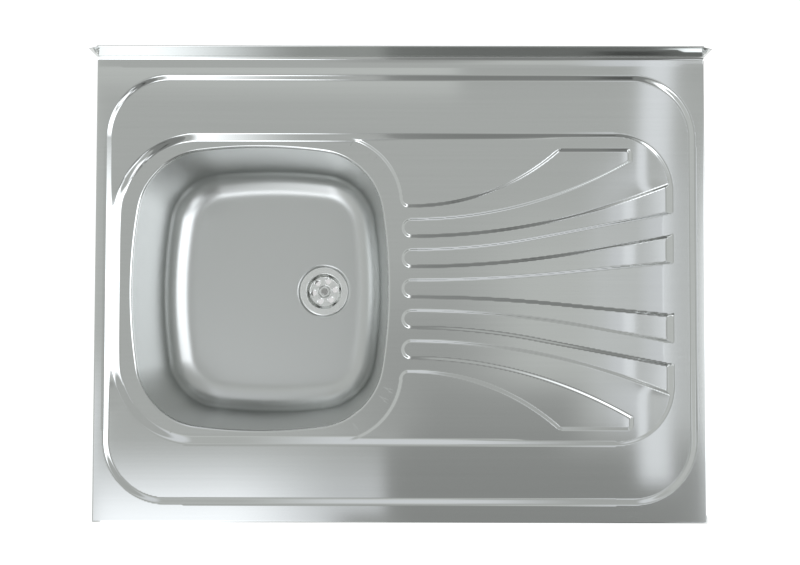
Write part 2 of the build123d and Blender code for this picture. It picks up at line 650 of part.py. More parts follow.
# ================================================================ fixing clips and their screws
lip_top = SHEET + HEM_LIP
hook_low = lip_top + CLIP_GAP
hook_top = hook_low + CLIP_SHEET
tongue_in = HEM_WIDTH - SHEET - CLIP_GAP
leg_out = CABINET_WALL + CLIP_SHEET

for side_name, side in (("left", -1), ("right", 1)):
    for end_name, end in (("front", -1), ("rear", 1)):
        place = f"{side_name}_{end_name}"
        edge = (side * DECK_WIDTH / 2, end * CLIP_Y, 0)  # on the hem's outer edge
        section = Plane(origin=edge, x_dir=(-side, 0, 0), z_dir=(0, side, 0))
        leg_face = (side * (DECK_WIDTH / 2 - leg_out), end * CLIP_Y, -CLIP_SLOT_DROP)

        with BuildPart() as clip:
            with BuildSketch(section) as clip_profile:
                with BuildLine():
                    Polyline(
                        (tongue_in, hook_top - CLIP_TONGUE),
                        (tongue_in, hook_low),
                        (CABINET_WALL, hook_low),
                        (CABINET_WALL, -CLIP_LEG),
                        (leg_out, -CLIP_LEG),
                        (leg_out, hook_top),
                        (tongue_in - CLIP_SHEET, hook_top),
                        (tongue_in - CLIP_SHEET, hook_top - CLIP_TONGUE),
                        close=True,
                    )
                make_face()
                hook_bends = clip_profile.vertices().group_by(Axis.Y)[-1]
                fillet(hook_bends, radius=CLIP_SHEET)
            extrude(amount=CLIP_WIDTH / 2, both=True)
            leg_corners = clip.edges().filter_by(Axis.X).group_by(Axis.Z)[0]
            fillet(leg_corners, radius=CLIP_CORNER)
            with BuildSketch(Plane(origin=leg_face, x_dir=(0, 1, 0), z_dir=(-side, 0, 0))):
                SlotOverall(CLIP_SLOT_LENGTH, CLIP_SLOT_WIDTH, rotation=CLIP_SLOT_TILT)
            extrude(amount=-CLIP_SHEET, mode=Mode.SUBTRACT)
        clip.part.label = f"clip_{place}"
        export_step(clip.part, f"parts/clip_{place}.step")

        with BuildPart() as clip_screw:
            screw_section = Plane(origin=leg_face, x_dir=(-side, 0, 0), z_dir=(0, side, 0))
            with BuildSketch(screw_section) as clip_screw_profile:
                shank_end = -(CLIP_SCREW_LENGTH - CLIP_SCREW_POINT)
                with BuildLine():
                    Polyline(
                        (-CLIP_SCREW_LENGTH, 0),
                        (shank_end, CLIP_SCREW_RADIUS),
                        (0, CLIP_SCREW_RADIUS),
                        (0, CLIP_SCREW_HEAD_RADIUS),
                        (CLIP_SCREW_HEAD_HEIGHT, CLIP_SCREW_HEAD_RADIUS),
                        (CLIP_SCREW_HEAD_HEIGHT, 0),
                        close=True,
                    )
                make_face()
                dome = clip_screw_profile.vertices().sort_by_distance(
                    (CLIP_SCREW_HEAD_HEIGHT, CLIP_SCREW_HEAD_RADIUS)
                )[0]
                fillet(dome, radius=CLIP_SCREW_HEAD_HEIGHT / 2)
            revolve(axis=Axis(leg_face, (-side, 0, 0)))
            head_face = Plane(origin=leg_face, x_dir=(0, 1, 0), z_dir=(-side, 0, 0))
            with BuildSketch(head_face.offset(CLIP_SCREW_HEAD_HEIGHT)):
                Rectangle(2 * CLIP_SCREW_HEAD_RADIUS, CLIP_SCREW_SLOT)
            extrude(amount=-CLIP_SCREW_HEAD_HEIGHT / 2, mode=Mode.SUBTRACT)
        clip_screw.part.label = f"clip_screw_{place}"
        export_step(clip_screw.part, f"parts/clip_screw_{place}.step")
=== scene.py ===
"""Looks of a lay-on kitchen sink: a polished deck with a fluted drainboard, a satin bowl, waste and fixings.

The classes hold their sizes in millimetres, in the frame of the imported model: +X to the drainboard, +Y to
the wall and +Z up, with Z = 0 on the cabinet's edge. Finished meshes are scaled to metres.
"""

import logging
import math
from dataclasses import dataclass, field
from enum import Enum
from typing import Callable, Sequence

import bmesh
import bpy
import numpy as np
from bmesh.types import BMesh, BMEdge, BMVert
from bpy.types import ID, Material, Node, NodeSocket, NodeTree, Object
from mathutils import Euler, Matrix, Vector


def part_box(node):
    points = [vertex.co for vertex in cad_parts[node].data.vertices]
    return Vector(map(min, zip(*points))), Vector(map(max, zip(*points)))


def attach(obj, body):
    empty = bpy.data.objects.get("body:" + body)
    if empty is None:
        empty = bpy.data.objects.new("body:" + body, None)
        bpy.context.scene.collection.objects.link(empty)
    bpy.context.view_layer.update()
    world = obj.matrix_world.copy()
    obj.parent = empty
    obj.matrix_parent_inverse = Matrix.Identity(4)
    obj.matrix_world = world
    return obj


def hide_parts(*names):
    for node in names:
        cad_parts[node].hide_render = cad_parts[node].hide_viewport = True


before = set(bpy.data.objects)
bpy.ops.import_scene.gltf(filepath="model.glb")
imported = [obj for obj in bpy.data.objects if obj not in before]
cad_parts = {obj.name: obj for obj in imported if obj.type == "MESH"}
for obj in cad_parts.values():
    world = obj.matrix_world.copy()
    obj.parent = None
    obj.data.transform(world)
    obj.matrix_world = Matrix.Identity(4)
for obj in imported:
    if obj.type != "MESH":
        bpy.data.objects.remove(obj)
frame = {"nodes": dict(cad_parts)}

log = logging.getLogger("sink")

MM = 0.001
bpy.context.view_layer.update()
MADE_NORMAL = "made_normal"
SHARP_ANGLE = 38.0
Array = np.ndarray
Surface = Callable[[Array, Array], Array]


class Slot(Enum):
    """Material slots of the record."""

    POLISHED = "polished_steel"
    SATIN = "satin_steel"
    GALVANISED = "galvanised_steel"
    FELT = "bitumen_felt"
    RUBBER = "seal_rubber"
    PLASTIC = "white_plastic"
    BRASS = "insert_brass"
    STRAINER = "strainer_steel"
    SCREW = "screw_steel"
    ZINC = "zinc_screw"


# ================================================================ lines and slopes of pressed sheet
def ramp(travel: Array, width: float, rounding: float) -> Array:
    """Height share of a straight slope with rounds at its head and foot.

    Args:
        travel: distance past the slope's head.
        width: distance from head to foot.
        rounding: half the length of each round.

    Returns:
        0 before the head, 1 past the foot and a soft slope between them.
    """
    head = np.clip(travel + rounding, 0.0, 2 * rounding) ** 2 / (4 * rounding * width)
    foot = 1 - np.clip(width + rounding - travel, 0.0, 2 * rounding) ** 2 / (4 * rounding * width)
    middle = np.clip(travel / width, 0.0, 1.0)
    return np.where(travel < rounding, head, np.where(travel > width - rounding, foot, middle))


def soft_maximum(first: Array, second: Array, blend: Array) -> Array:
    """The higher of two surfaces, with a round foot where they meet.

    Args:
        first: heights of one surface.
        second: heights of the other.
        blend: difference of height below which the round starts.

    Returns:
        Heights of the joined surface.
    """
    share = np.maximum(blend - np.abs(first - second), 0.0) / blend
    return np.maximum(first, second) + share**2 * blend / 4


def round_meet(first: Array, second: Array, radius: float) -> Array:
    """Distance inside both of two areas, whose common corner is rounded.

    Args:
        first: distance inside one area.
        second: distance inside the other.
        radius: radius of the corner.

    Returns:
        Distance inside the common area.
    """
    corner = np.hypot(np.maximum(radius - first, 0.0), np.maximum(radius - second, 0.0))
    return np.maximum(radius, np.minimum(first, second)) - corner


def round_join(first: Array, second: Array, radius: float) -> Array:
    """Distance inside either of two areas, with a round in the corner between them.

    Args:
        first: distance inside one area.
        second: distance inside the other.
        radius: radius of the corner.

    Returns:
        Distance inside the joined area.
    """
    return -round_meet(-first, -second, radius)


@dataclass
class Recess:
    """A rounded rectangle on the deck, whose left and right corners may differ."""

    left: float
    right: float
    half_depth: float
    corner_left: float
    corner_right: float

    def distance(self, x: Array, y: Array) -> Array:
        """Distance inside the outline, negative outside it.

        Args:
            x: places along the deck.
            y: places across the deck.

        Returns:
            The distances.
        """
        on_left = x < (self.left + self.right) / 2
        corner = np.where(on_left, self.corner_left, self.corner_right)
        across_x = np.where(on_left, self.left - x, x - self.right) + corner
        across_y = np.abs(y) - self.half_depth + corner
        outside = np.hypot(np.maximum(across_x, 0.0), np.maximum(across_y, 0.0))
        return corner - outside - np.minimum(np.maximum(across_x, across_y), 0.0)


@dataclass
class Mouth:
    """The bowl's mouth: four wide arcs with round corners between them."""

    centre_x: float
    width: float = 338.0
    length: float = 373.0
    side_radius: float = 665.0
    end_radius: float = 650.0
    corner: float = 92.0

    def __post_init__(self) -> None:
        """Finds the middle of the corner's arc, where it touches the side's arc and the end's."""
        self.side_middle = self.side_radius - self.width / 2
        self.end_middle = self.end_radius - self.length / 2
        from_side = self.side_radius - self.corner
        from_end = self.end_radius - self.corner
        apart = math.hypot(self.side_middle, self.end_middle)
        reach = (from_side**2 - from_end**2 + apart**2) / (2 * apart)
        height = math.sqrt(from_side**2 - reach**2)
        along = Vector((self.side_middle, -self.end_middle)) / apart
        self.corner_x = -self.side_middle + along.x * reach - along.y * height
        self.corner_y = along.y * reach + along.x * height
        self.side_turn = math.atan2(self.corner_y, self.corner_x + self.side_middle)
        self.end_turn = math.atan2(self.corner_y + self.end_middle, self.corner_x)

    def distance(self, x: Array, y: Array) -> Array:
        """Distance inside the outline, negative outside it.

        Args:
            x: places along the deck.
            y: places across the deck.

        Returns:
            The distances.
        """
        out_x = np.abs(x - self.centre_x)
        out_y = np.abs(y)
        turn = np.arctan2(out_y - self.corner_y, out_x - self.corner_x)
        side = self.side_radius - np.hypot(out_x + self.side_middle, out_y)
        end = self.end_radius - np.hypot(out_x, out_y + self.end_middle)
        corner = self.corner - np.hypot(out_x - self.corner_x, out_y - self.corner_y)
        beyond = (turn > self.side_turn) & (turn < self.end_turn)
        return np.where(beyond, corner, np.minimum(side, end))

    def ring(self, count: int, inset: float) -> Array:
        """Points of the outline moved inwards, evenly spread from the middle of the right side.

        Args:
            count: number of points, a multiple of 4.
            inset: distance inside the outline.

        Returns:
            An array of count points, as x and y.
        """
        side_length = self.side_radius * self.side_turn
        corner_length = self.corner * (self.end_turn - self.side_turn)
        end_length = self.end_radius * (math.pi / 2 - self.end_turn)
        steps = np.linspace(0.0, side_length + corner_length + end_length, count // 4 + 1)
        quarter = []
        for step in steps:
            past_corner = step - side_length - corner_length
            if step <= side_length:
                middle, radius, turn = (-self.side_middle, 0.0), self.side_radius, step / self.side_radius
            elif past_corner <= 0.0:
                turn = self.side_turn + (step - side_length) / self.corner
                middle, radius = (self.corner_x, self.corner_y), self.corner
            else:
                turn = self.end_turn + past_corner / self.end_radius
                middle, radius = (0.0, -self.end_middle), self.end_radius
            reach = radius - inset
            quarter.append((middle[0] + reach * math.cos(turn), middle[1] + reach * math.sin(turn)))
        right_rear = np.array(quarter)
        left_rear = right_rear[::-1] * (-1, 1)
        rear = np.vstack([right_rear[:-1], left_rear[:-1]])
        return np.vstack([rear, -rear]) + (self.centre_x, 0.0)


@dataclass
class Drainboard:
    """Raised ribs that fan out from the bowl, and the shoulders beside them."""

    start: float
    end: float
    pitch: float = 20.0
    rib_height: float = 2.2
    fall: float = 3.0
    edge_radii: tuple[float, ...] = (2000.0, 1300.0, 880.0, 860.0)
    edge_runs: tuple[float, ...] = (159.3, 122.1, 189.6, 60.4)
    edge_overrun: float = 11.5
    outer_radius: float = 575.0
    channel_end: float = 304.0
    channel_edge: float = 184.0
    channel_corner: float = 6.0
    shoulder_overlap: float = 36.0
    shoulder_middle: tuple[float, float] = (-90.0, 110.0)
    shoulder_radius: float = 93.0
    shoulder_bend: float = 290.0
    shoulder_fillet: float = 8.0
    shoulder_joint: float = 3.0
    end_rise: float = 0.95
    rise_start: float = 285.0
    rise_length: float = 50.0
    sag: float = 0.9
    sag_start: float = 316.0
    sag_length: float = 34.0
    sag_side: float = 112.0
    sag_soft: float = 22.0
    wall_width: float = 2.3
    wall_rounding: float = 0.95
    dip: float = 1.3
    dip_start: float = 292.0
    dip_length: float = 46.0

    def slope(self, x: Array) -> Array:
        """Rise of the drainboard towards its right end, above the noses' ends."""
        return (x - self.start) * self.fall / (self.end - self.start)

    def above_edge(self, along: Array, across: Array, offset: float, radius: float, run: float) -> Array:
        """Distance past one edge of the fan, away from the middle.

        Args:
            along: places to the right of the noses' ends.
            across: places away from the middle line.
            offset: the edge's place at the noses.
            radius: radius of the edge's arc.
            run: length of its straight tangent at the right end.

        Returns:
            The distances, negative towards the middle.
        """
        turn = math.asin((self.end - self.start + self.edge_overrun - run) / radius)
        middle = offset + radius
        arc = radius - np.hypot(along, across - middle)
        tangent_x = radius * math.sin(turn)
        tangent_y = middle - radius * math.cos(turn)
        line = (across - tangent_y) * math.cos(turn) - (along - tangent_x) * math.sin(turn)
        straight = along * math.cos(turn) + (across - middle) * math.sin(turn) > 0.0
        return np.where(straight, line, arc)

    def raised(self, x: Array, y: Array) -> Array:
        """Distance inside the nearest rib or shoulder, negative in the channels.

        Args:
            x: places along the deck.
            y: places across the deck.

        Returns:
            The distances.
        """
        along = x - self.start
        across = np.abs(y)
        edges = []
        for row, (radius, run) in enumerate(zip(self.edge_radii, self.edge_runs)):
            edges.append(self.above_edge(along, across, self.pitch * (row + 0.5), radius, run))
        reach = self.channel_end - self.start
        outer_middle = 4.5 * self.pitch + self.outer_radius
        outer_flat = outer_middle - math.sqrt(self.outer_radius**2 - reach**2)
        outer_arc = self.outer_radius - np.hypot(along, across - outer_middle)
        edges.append(np.where(along > reach, across - outer_flat, outer_arc))
        ribs = [-edges[0], np.minimum(edges[1], -edges[2]), np.minimum(edges[3], -edges[4])]
        for row in range(3):
            nose = self.pitch / 2 - np.hypot(along, across - 2 * row * self.pitch)
            ribs[row] = np.where(along < 0.0, nose, ribs[row])
        return np.maximum(np.maximum.reduce(ribs), self.shoulder(x, across))

    def shoulder(self, x: Array, across: Array) -> Array:
        """Distance inside the flat past the outer channel, which sweeps round beside the bowl.

        Args:
            x: places along the deck.
            across: places away from the middle line.

        Returns:
            The distances.
        """
        along = x - self.start
        foot = self.shoulder_middle[1]
        bend = self.shoulder_bend - np.hypot(along, across - foot - self.shoulder_bend)
        past_edge = np.where(along < 0.0, across - foot, bend)
        past_edge = round_join(past_edge, across - self.channel_edge, self.shoulder_joint)
        round_x = x - self.shoulder_middle[0]
        past_round = np.where(round_x > 0.0, np.hypot(round_x, across - foot), across - foot)
        flat = round_meet(past_edge, past_round - self.shoulder_radius, self.shoulder_fillet)
        inside = self.channel_edge - self.shoulder_overlap
        corner = np.minimum(x - self.channel_end, across - inside)
        return round_join(flat, corner, self.channel_corner)

    def height(self, x: Array, y: Array, floor: float) -> Array:
        """Height of the ribs and channels.

        Args:
            x: places along the deck.
            y: places across the deck.
            floor: height of the basin's floor beside the bowl.

        Returns:
            The heights.
        """
        channel = floor + self.slope(np.maximum(x, self.start))
        top = floor + self.rib_height + self.slope(x)
        beside = ramp(np.abs(y) - self.sag_side, self.sag_soft, self.sag_soft / 2)
        rise = self.end_rise * ramp(x - self.rise_start, self.rise_length, self.rise_length / 2)
        top = top + (1.0 - beside) * rise
        top = top - beside * self.sag * ramp(x - self.sag_start, self.sag_length, self.sag_length / 2)
        drop = ramp(-self.raised(x, y), self.wall_width, self.wall_rounding)
        sink = ramp(x - self.dip_start, self.dip_length, self.dip_length / 2)
        channel = channel - self.dip * sink
        return top + (channel - top) * drop


def differences(surface: Surface, x: Array, y: Array, near: float) -> tuple[Array, Array]:
    """How a surface changes along X and along Y.

    Args:
        surface: its value at each place.
        x: places along X.
        y: places along Y.
        near: half the distance over which the change is taken.

    Returns:
        The changes along X and those along Y.
    """
    along_x = surface(x + near, y) - surface(x - near, y)
    along_y = surface(x, y + near) - surface(x, y - near)
    return along_x, along_y


def surface_normals(height: Surface, x: Array, y: Array, near: float) -> Array:
    """Upward directions of a surface, from its slopes.

    Args:
        height: the surface's height at each place.
        x: places along X.
        y: places along Y.
        near: half the distance over which a slope is taken.

    Returns:
        Unit vectors, one row for each place.
    """
    slope_x, slope_y = (change / (2 * near) for change in differences(height, x, y, near))
    rows = np.stack([-slope_x, -slope_y, np.ones_like(x)], axis=1)
    return rows / np.linalg.norm(rows, axis=1)[:, None]


# ================================================================ meshes
def places_of(verts: Sequence[BMVert]) -> tuple[Array, Array]:
    """Places of vertices along X and along Y."""
    return np.array([vert.co.x for vert in verts]), np.array([vert.co.y for vert in verts])


def add_to_scene(name: str, data: ID) -> Object:
    """Makes an object of a mesh, camera or lamp and puts it in the scene."""
    made = bpy.data.objects.new(name, data)
    bpy.context.scene.collection.objects.link(made)
    return made


def in_metres(bm: BMesh, name: str, material: Material) -> Object:
    """Turns a finished bmesh in millimetres into an object, and puts its made normals in place.

    Args:
        bm: the bmesh, which is freed.
        name: the piece's name.
        material: its finish.

    Returns:
        The new object.
    """
    bmesh.ops.triangulate(bm, faces=[face for face in bm.faces if len(face.verts) > 4])
    bmesh.ops.scale(bm, vec=(MM, MM, MM), verts=bm.verts[:])
    mesh = bpy.data.meshes.new(name)
    bm.to_mesh(mesh)
    bm.free()
    mesh.shade_smooth()
    mesh.set_sharp_from_angle(angle=math.radians(SHARP_ANGLE))
    if MADE_NORMAL in mesh.attributes:
        use_made_normals(mesh)
    mesh.materials.append(material)
    piece = add_to_scene(name, mesh)
    mesh.calc_loop_triangles()
    log.info("%s: %d triangles", name, len(mesh.loop_triangles))
    return piece


def use_made_normals(mesh: bpy.types.Mesh) -> None:
    """Sets the mesh's shading from the surface's own slope where that was kept, on both faces."""
    made = np.zeros(len(mesh.vertices) * 3, np.float32)
    mesh.attributes[MADE_NORMAL].data.foreach_get("vector", made)
    made = made.reshape(-1, 3)
    corners = np.zeros(len(mesh.loops) * 3, np.float32)
    mesh.corner_normals.foreach_get("vector", corners)
    corners = corners.reshape(-1, 3)
    vertex = np.zeros(len(mesh.loops), np.int32)
    mesh.loops.foreach_get("vertex_index", vertex)
    wanted = made[vertex]
    side = (wanted * corners).sum(1)
    shown = np.abs(side) > 0.5
    wanted = wanted * np.sign(side)[:, None]
    mesh.normals_split_custom_set(np.where(shown[:, None], wanted, corners).tolist())
    mesh.attributes.remove(mesh.attributes[MADE_NORMAL])


def pull_edges(bm: BMesh, edges: list[BMEdge]) -> tuple[list[BMVert], list[BMEdge]]:
    """Extrudes open edges in place.

    Args:
        bm: the bmesh.
        edges: its open edges.

    Returns:
        The new vertices and the new open edges.
    """
    made = bmesh.ops.extrude_edge_only(bm, edges=edges)["geom"]
    verts = [item for item in made if isinstance(item, BMVert)]
    new_edges = [item for item in made if isinstance(item, BMEdge)]
    return verts, new_edges


@dataclass
class DeckPanel:
    """The pressed deck: border, ledge, basin, drainboard, bowl mouth, skirts with their hem, and upstand."""

    mouth: Mouth
    board: Drainboard
    half_width: float = 400.0
    front: float = -305.0
    bend_y: float = 300.5
    top: float = 40.0
    sheet: float = 0.8
    fold: float = 2.5
    border_side: float = 12.5
    border_front: float = 23.2
    ledge_corner: float = 84.0
    ledge_drop: float = 3.0
    step_start: float = 2.2
    step_width: float = 4.6
    step_rounding: float = 1.7
    basin_drop: float = 6.0
    basin_left: float = -376.5
    basin_half_depth: float = 203.8
    basin_corner_left: float = 110.0
    basin_corner_right: float = 76.0
    basin_wall: float = 11.5
    wall_start: float = -1.0
    flank_start: float = -385.6
    flank_width: float = 16.5
    flank_rounding: float = 2.5
    flank_length: float = 82.0
    flank_fade: float = 56.0
    flank_margin: float = 6.0
    wall_head: float = 6.0
    foot_blend: float = 3.9
    lip: float = 3.0
    neck: float = 6.0
    cell: float = 10.9
    front_levels: int = 4
    back_levels: int = 2
    rib_band: float = 2.4
    step_arc_y: float = 190.0
    wall_arc_y: float = 90.0
    arc_x: float = 285.0
    ear_zone: tuple[float, float] = (384.0, 297.0)
    nose_zone: tuple[float, float] = (10.0, 118.0)
    hem: float = 12.0
    hem_lip: float = 6.8
    hem_fold: float = 1.6
    lip_fold: float = 1.2
    skirt_rows: tuple[float, ...] = (28.0, 18.0, 9.0)
    lead_in: float = 6.5
    lead_radius: float = 40.0
    upstand_bend: float = 5.0
    upstand_lean: float = 6.5
    upstand_height: float = 36.92
    upstand_end: float = 399.7
    roll: float = 1.1
    roll_tail: float = 9.0
    ear: float = 11.0
    ear_turn: float = 15.0
    ledge: Recess = field(init=False)
    basin: Recess = field(init=False)

    def __post_init__(self) -> None:
        """Places the ledge's and the basin's outlines."""
        side = self.half_width - self.border_side
        depth = -self.front - self.border_front
        self.ledge = Recess(-side, side, depth, self.ledge_corner, self.ledge_corner)
        corners = (self.basin_corner_left, self.basin_corner_right)
        self.basin = Recess(self.basin_left, self.board.end, self.basin_half_depth, *corners)
        self.ledge_z = self.top - self.ledge_drop
        self.basin_z = self.ledge_z - self.basin_drop

    def height(self, x: Array, y: Array) -> Array:
        """Height of the deck's visible face.

        Args:
            x: places along the deck.
            y: places across the deck.

        Returns:
            The heights.
        """
        step = ramp(self.ledge.distance(x, y) - self.step_start, self.step_width, self.step_rounding)
        ledge = self.top - self.ledge_drop * step
        inside = np.maximum(self.basin.distance(x, y) - self.wall_start, 0.0)
        turned = self.wall_head * math.sin(math.pi / 4)
        head = self.wall_head - np.sqrt(self.wall_head**2 - np.minimum(inside, turned) ** 2)
        wall = ledge - head - np.maximum(inside - turned, 0.0)
        floor = self.board.height(x, y, self.basin_z)
        blend = np.clip(0.6 * (ledge - floor), 0.3, self.foot_blend)
        height = np.where(inside > 0.0, np.minimum(soft_maximum(wall, floor, blend), ledge), ledge)
        whole_drop = self.ledge_drop + self.basin_drop
        flank = self.top - whole_drop * ramp(x - self.flank_start, self.flank_width, self.flank_rounding)
        beside = 1.0 - ramp(np.abs(y) - self.flank_length, self.flank_fade, self.flank_fade / 2)
        on_flank = x < self.flank_start + self.flank_width + self.flank_margin
        height = np.where(on_flank, height + (flank - height) * beside, height)
        lead = np.maximum(y - self.bend_y + self.lead_in, 0.0)
        return height + lead**2 / (2 * self.lead_radius)

    def wanted_cell(self, x: Array, y: Array, reach: float) -> Array:
        """Size of the mesh's cells that the deck's form asks for.

        Args:
            x: places along the deck.
            y: places across the deck.
            reach: how far from a line the finer cells start.

        Returns:
            The sizes.
        """
        to_mouth = self.mouth.distance(x, y)
        step = self.ledge.distance(x, y)
        basin = self.basin.distance(x, y)
        raised = self.board.raised(x, y)
        size = np.full_like(x, self.cell)
        on_step = (step > -reach) & (step < self.step_start + self.step_width + 1.5 + reach)
        on_wall = (basin > -1.0 - reach) & (basin < self.basin_wall + 0.5 + reach)
        at_mouth = np.abs(to_mouth + self.lip) < reach
        size = np.where(on_step | on_wall | at_mouth, self.cell / 4, size)
        on_step_arc = on_step & (np.abs(y) > self.step_arc_y - reach)
        on_wall_arc = on_wall & (np.abs(y) > self.wall_arc_y - reach)
        on_arc = (on_step_arc | on_wall_arc) & (np.abs(x) > self.arc_x - reach)
        size = np.where(on_arc, self.cell / 8, size)
        on_rib = np.abs(raised + self.board.wall_width / 2) < self.rib_band + reach
        ear_x, ear_y = self.ear_zone
        at_ear = (np.abs(x) > ear_x - reach) & (y > ear_y - reach)
        size = np.where(at_ear, np.minimum(size, self.cell / 4), size)
        size = np.where(on_rib & (basin > 5.0 - reach) & (to_mouth < 0.0), self.cell / 8, size)
        nose_x, nose_y = self.nose_zone
        at_noses = (np.abs(x - self.board.start + 4.0) < nose_x + reach) & (np.abs(y) < nose_y + reach)
        return np.where(on_rib & at_noses & (to_mouth < 0.0), self.cell / 16, size)

    def face_grid(self, levels: int) -> BMesh:
        """The deck's face inside its folds, with finer cells along every pressed line.

        Args:
            levels: how many times a cell may be halved.

        Returns:
            A flat bmesh with the mouth cut out.
        """
        side = self.half_width - self.fold
        front = self.front + self.fold
        bm = bmesh.new()
        columns = round(2 * side / self.cell)
        rows = round((self.bend_y - front) / self.cell)
        bmesh.ops.create_grid(bm, x_segments=columns, y_segments=rows, size=1.0)
        bmesh.ops.scale(bm, vec=(side, (self.bend_y - front) / 2, 1.0), verts=bm.verts[:])
        bmesh.ops.translate(bm, vec=(0.0, (self.bend_y + front) / 2, 0.0), verts=bm.verts[:])
        for level in range(levels):
            size = self.cell / 2**level
            middles = np.array([face.calc_center_median()[:2] for face in bm.faces])
            wanted = self.wanted_cell(middles[:, 0], middles[:, 1], 0.6 * size)
            chosen = [face for face, cell in zip(bm.faces[:], wanted) if cell < 0.9 * size]
            edges = list({edge for face in chosen for edge in face.edges})
            bmesh.ops.subdivide_edges(bm, edges=edges, cuts=1, use_grid_fill=True)
        places = np.array([vert.co[:2] for vert in bm.verts])
        inside = self.mouth.distance(places[:, 0], places[:, 1]) > -self.lip + 0.4 * self.cell / 4
        gone = [vert for vert, is_gone in zip(bm.verts[:], inside) if is_gone]
        bmesh.ops.delete(bm, geom=gone, context="VERTS")
        return bm

    def to_mouth_line(self, verts: list[BMVert], distance: float, height: float, turn: float) -> None:
        """Moves vertices square to the mouth's outline and turns their normals over the lip.

        Args:
            verts: the vertices.
            distance: wanted distance inside the outline.
            height: wanted height.
            turn: angle over the lip, from 0 on the deck to 90 degrees down the neck.
        """
        near = 0.05
        x, y = places_of(verts)
        away = distance - self.mouth.distance(x, y)
        slope_x, slope_y = differences(self.mouth.distance, x, y, near)
        for vert, far, along_x, along_y in zip(verts, away, slope_x, slope_y):
            inwards = Vector((along_x, along_y, 0.0)).normalized()
            vert.co += inwards * far
            vert.co.z = height
            vert[self.layer] = inwards * math.sin(turn) + Vector((0.0, 0.0, math.cos(turn)))

    def build(self) -> BMesh:
        """Builds the whole deck as a closed sheet, whose hidden back has larger cells.

        Returns:
            The bmesh, in millimetres.
        """
        shown = self.surface(self.front_levels)
        back = self.surface(self.back_levels)
        faces = back.faces[:]
        bmesh.ops.solidify(back, geom=faces, thickness=self.sheet)
        bmesh.ops.delete(back, geom=faces, context="FACES")
        mesh = bpy.data.meshes.new("deck_back")
        back.to_mesh(mesh)
        back.free()
        shown.from_mesh(mesh)
        bpy.data.meshes.remove(mesh)
        seam = [vert for vert in shown.verts if vert.is_boundary]
        bmesh.ops.remove_doubles(shown, verts=seam, dist=0.02)
        return shown

    def surface(self, levels: int) -> BMesh:
        """Shapes the deck's visible face, with its folds.

        Args:
            levels: how many times a cell may be halved.

        Returns:
            The open bmesh, in millimetres.
        """
        bm = self.face_grid(levels)
        self.layer = bm.verts.layers.float_vector.new(MADE_NORMAL)
        rim = [edge for edge in bm.edges if edge.is_boundary]
        side, front = self.half_width - self.fold, self.front + self.fold
        near = 0.01

        def on_line(edge: BMEdge, axis: int, value: float) -> bool:
            """Whether both ends of an edge lie on a line along X or Y."""
            return all(abs(vert.co[axis] - value) < near for vert in edge.verts)

        rear_rim = [edge for edge in rim if on_line(edge, 1, self.bend_y)]
        skirt_rim = [e for e in rim if on_line(e, 1, front) or on_line(e, 0, side) or on_line(e, 0, -side)]
        outer = set(rear_rim) | set(skirt_rim)
        mouth_rim = [edge for edge in rim if edge not in outer]
        mouth_verts = list({vert for edge in mouth_rim for vert in edge.verts})
        self.to_mouth_line(mouth_verts, -self.lip, 0.0, 0.0)
        x, y = places_of(bm.verts)
        normals = surface_normals(self.height, x, y, 0.2)
        for vert, height, normal in zip(bm.verts, self.height(x, y), normals):
            vert.co.z = height
            vert[self.layer] = normal
        self.roll_lip(bm, mouth_rim)
        self.fold_skirts(bm, skirt_rim)
        self.bend_upstand(bm, rear_rim)
        return bm

    def roll_lip(self, bm: BMesh, edges: list[BMEdge]) -> None:
        """Rolls the deck over into the bowl's mouth and pulls its neck down.

        Args:
            bm: the deck's bmesh.
            edges: the open edges round the mouth.
        """
        steps = 6
        for step in range(1, steps + 1):
            turn = math.pi / 2 * step / steps
            verts, edges = pull_edges(bm, edges)
            drop = self.lip * (1 - math.cos(turn))
            self.to_mouth_line(verts, self.lip * (math.sin(turn) - 1), self.basin_z - drop, turn)
        verts, edges = pull_edges(bm, edges)
        self.to_mouth_line(verts, 0.0, self.basin_z - self.neck, math.pi / 2)

    def skirt_line(self) -> list[tuple[float, float]]:
        """Section of fold, skirt, hem and lip: distance out from the face's edge, and height."""
        fold, hem_fold, lip_fold = self.fold, self.hem_fold, self.lip_fold
        hem_end = fold - self.hem
        line = []
        for step in range(1, 7):
            turn = math.pi / 2 * step / 6
            line.append((fold * math.sin(turn), self.top - fold * (1 - math.cos(turn))))
        for height in self.skirt_rows:
            line.append((fold, height))
        for step in range(7):
            turn = math.pi / 2 * step / 6
            line.append((fold - hem_fold * (1 - math.cos(turn)), hem_fold * (1 - math.sin(turn))))
        for step in range(5):
            turn = math.pi / 2 * step / 4
            out = hem_end + lip_fold * (1 - math.sin(turn))
            line.append((out, lip_fold * (1 - math.cos(turn))))
        line.append((hem_end, self.hem_lip))
        return line

    def fold_skirts(self, bm: BMesh, edges: list[BMEdge]) -> None:
        """Folds the left, front and right skirts down, and their hem and its lip under.

        Args:
            bm: the deck's bmesh.
            edges: the open edges at those sides.
        """
        side, front = self.half_width - self.fold, self.front + self.fold
        verts = list({vert for edge in edges for vert in edge.verts})
        out_before = 0.0
        near = 0.01
        for out, height in self.skirt_line():
            verts, edges = pull_edges(bm, edges)
            for vert in verts:
                if abs(vert.co.x) > side + out_before - near:
                    vert.co.x = math.copysign(side + out, vert.co.x)
                if vert.co.y < front - out_before + near:
                    vert.co.y = front - out
                vert.co.z = height
                vert[self.layer] = (0.0, 0.0, 0.0)
            out_before = out

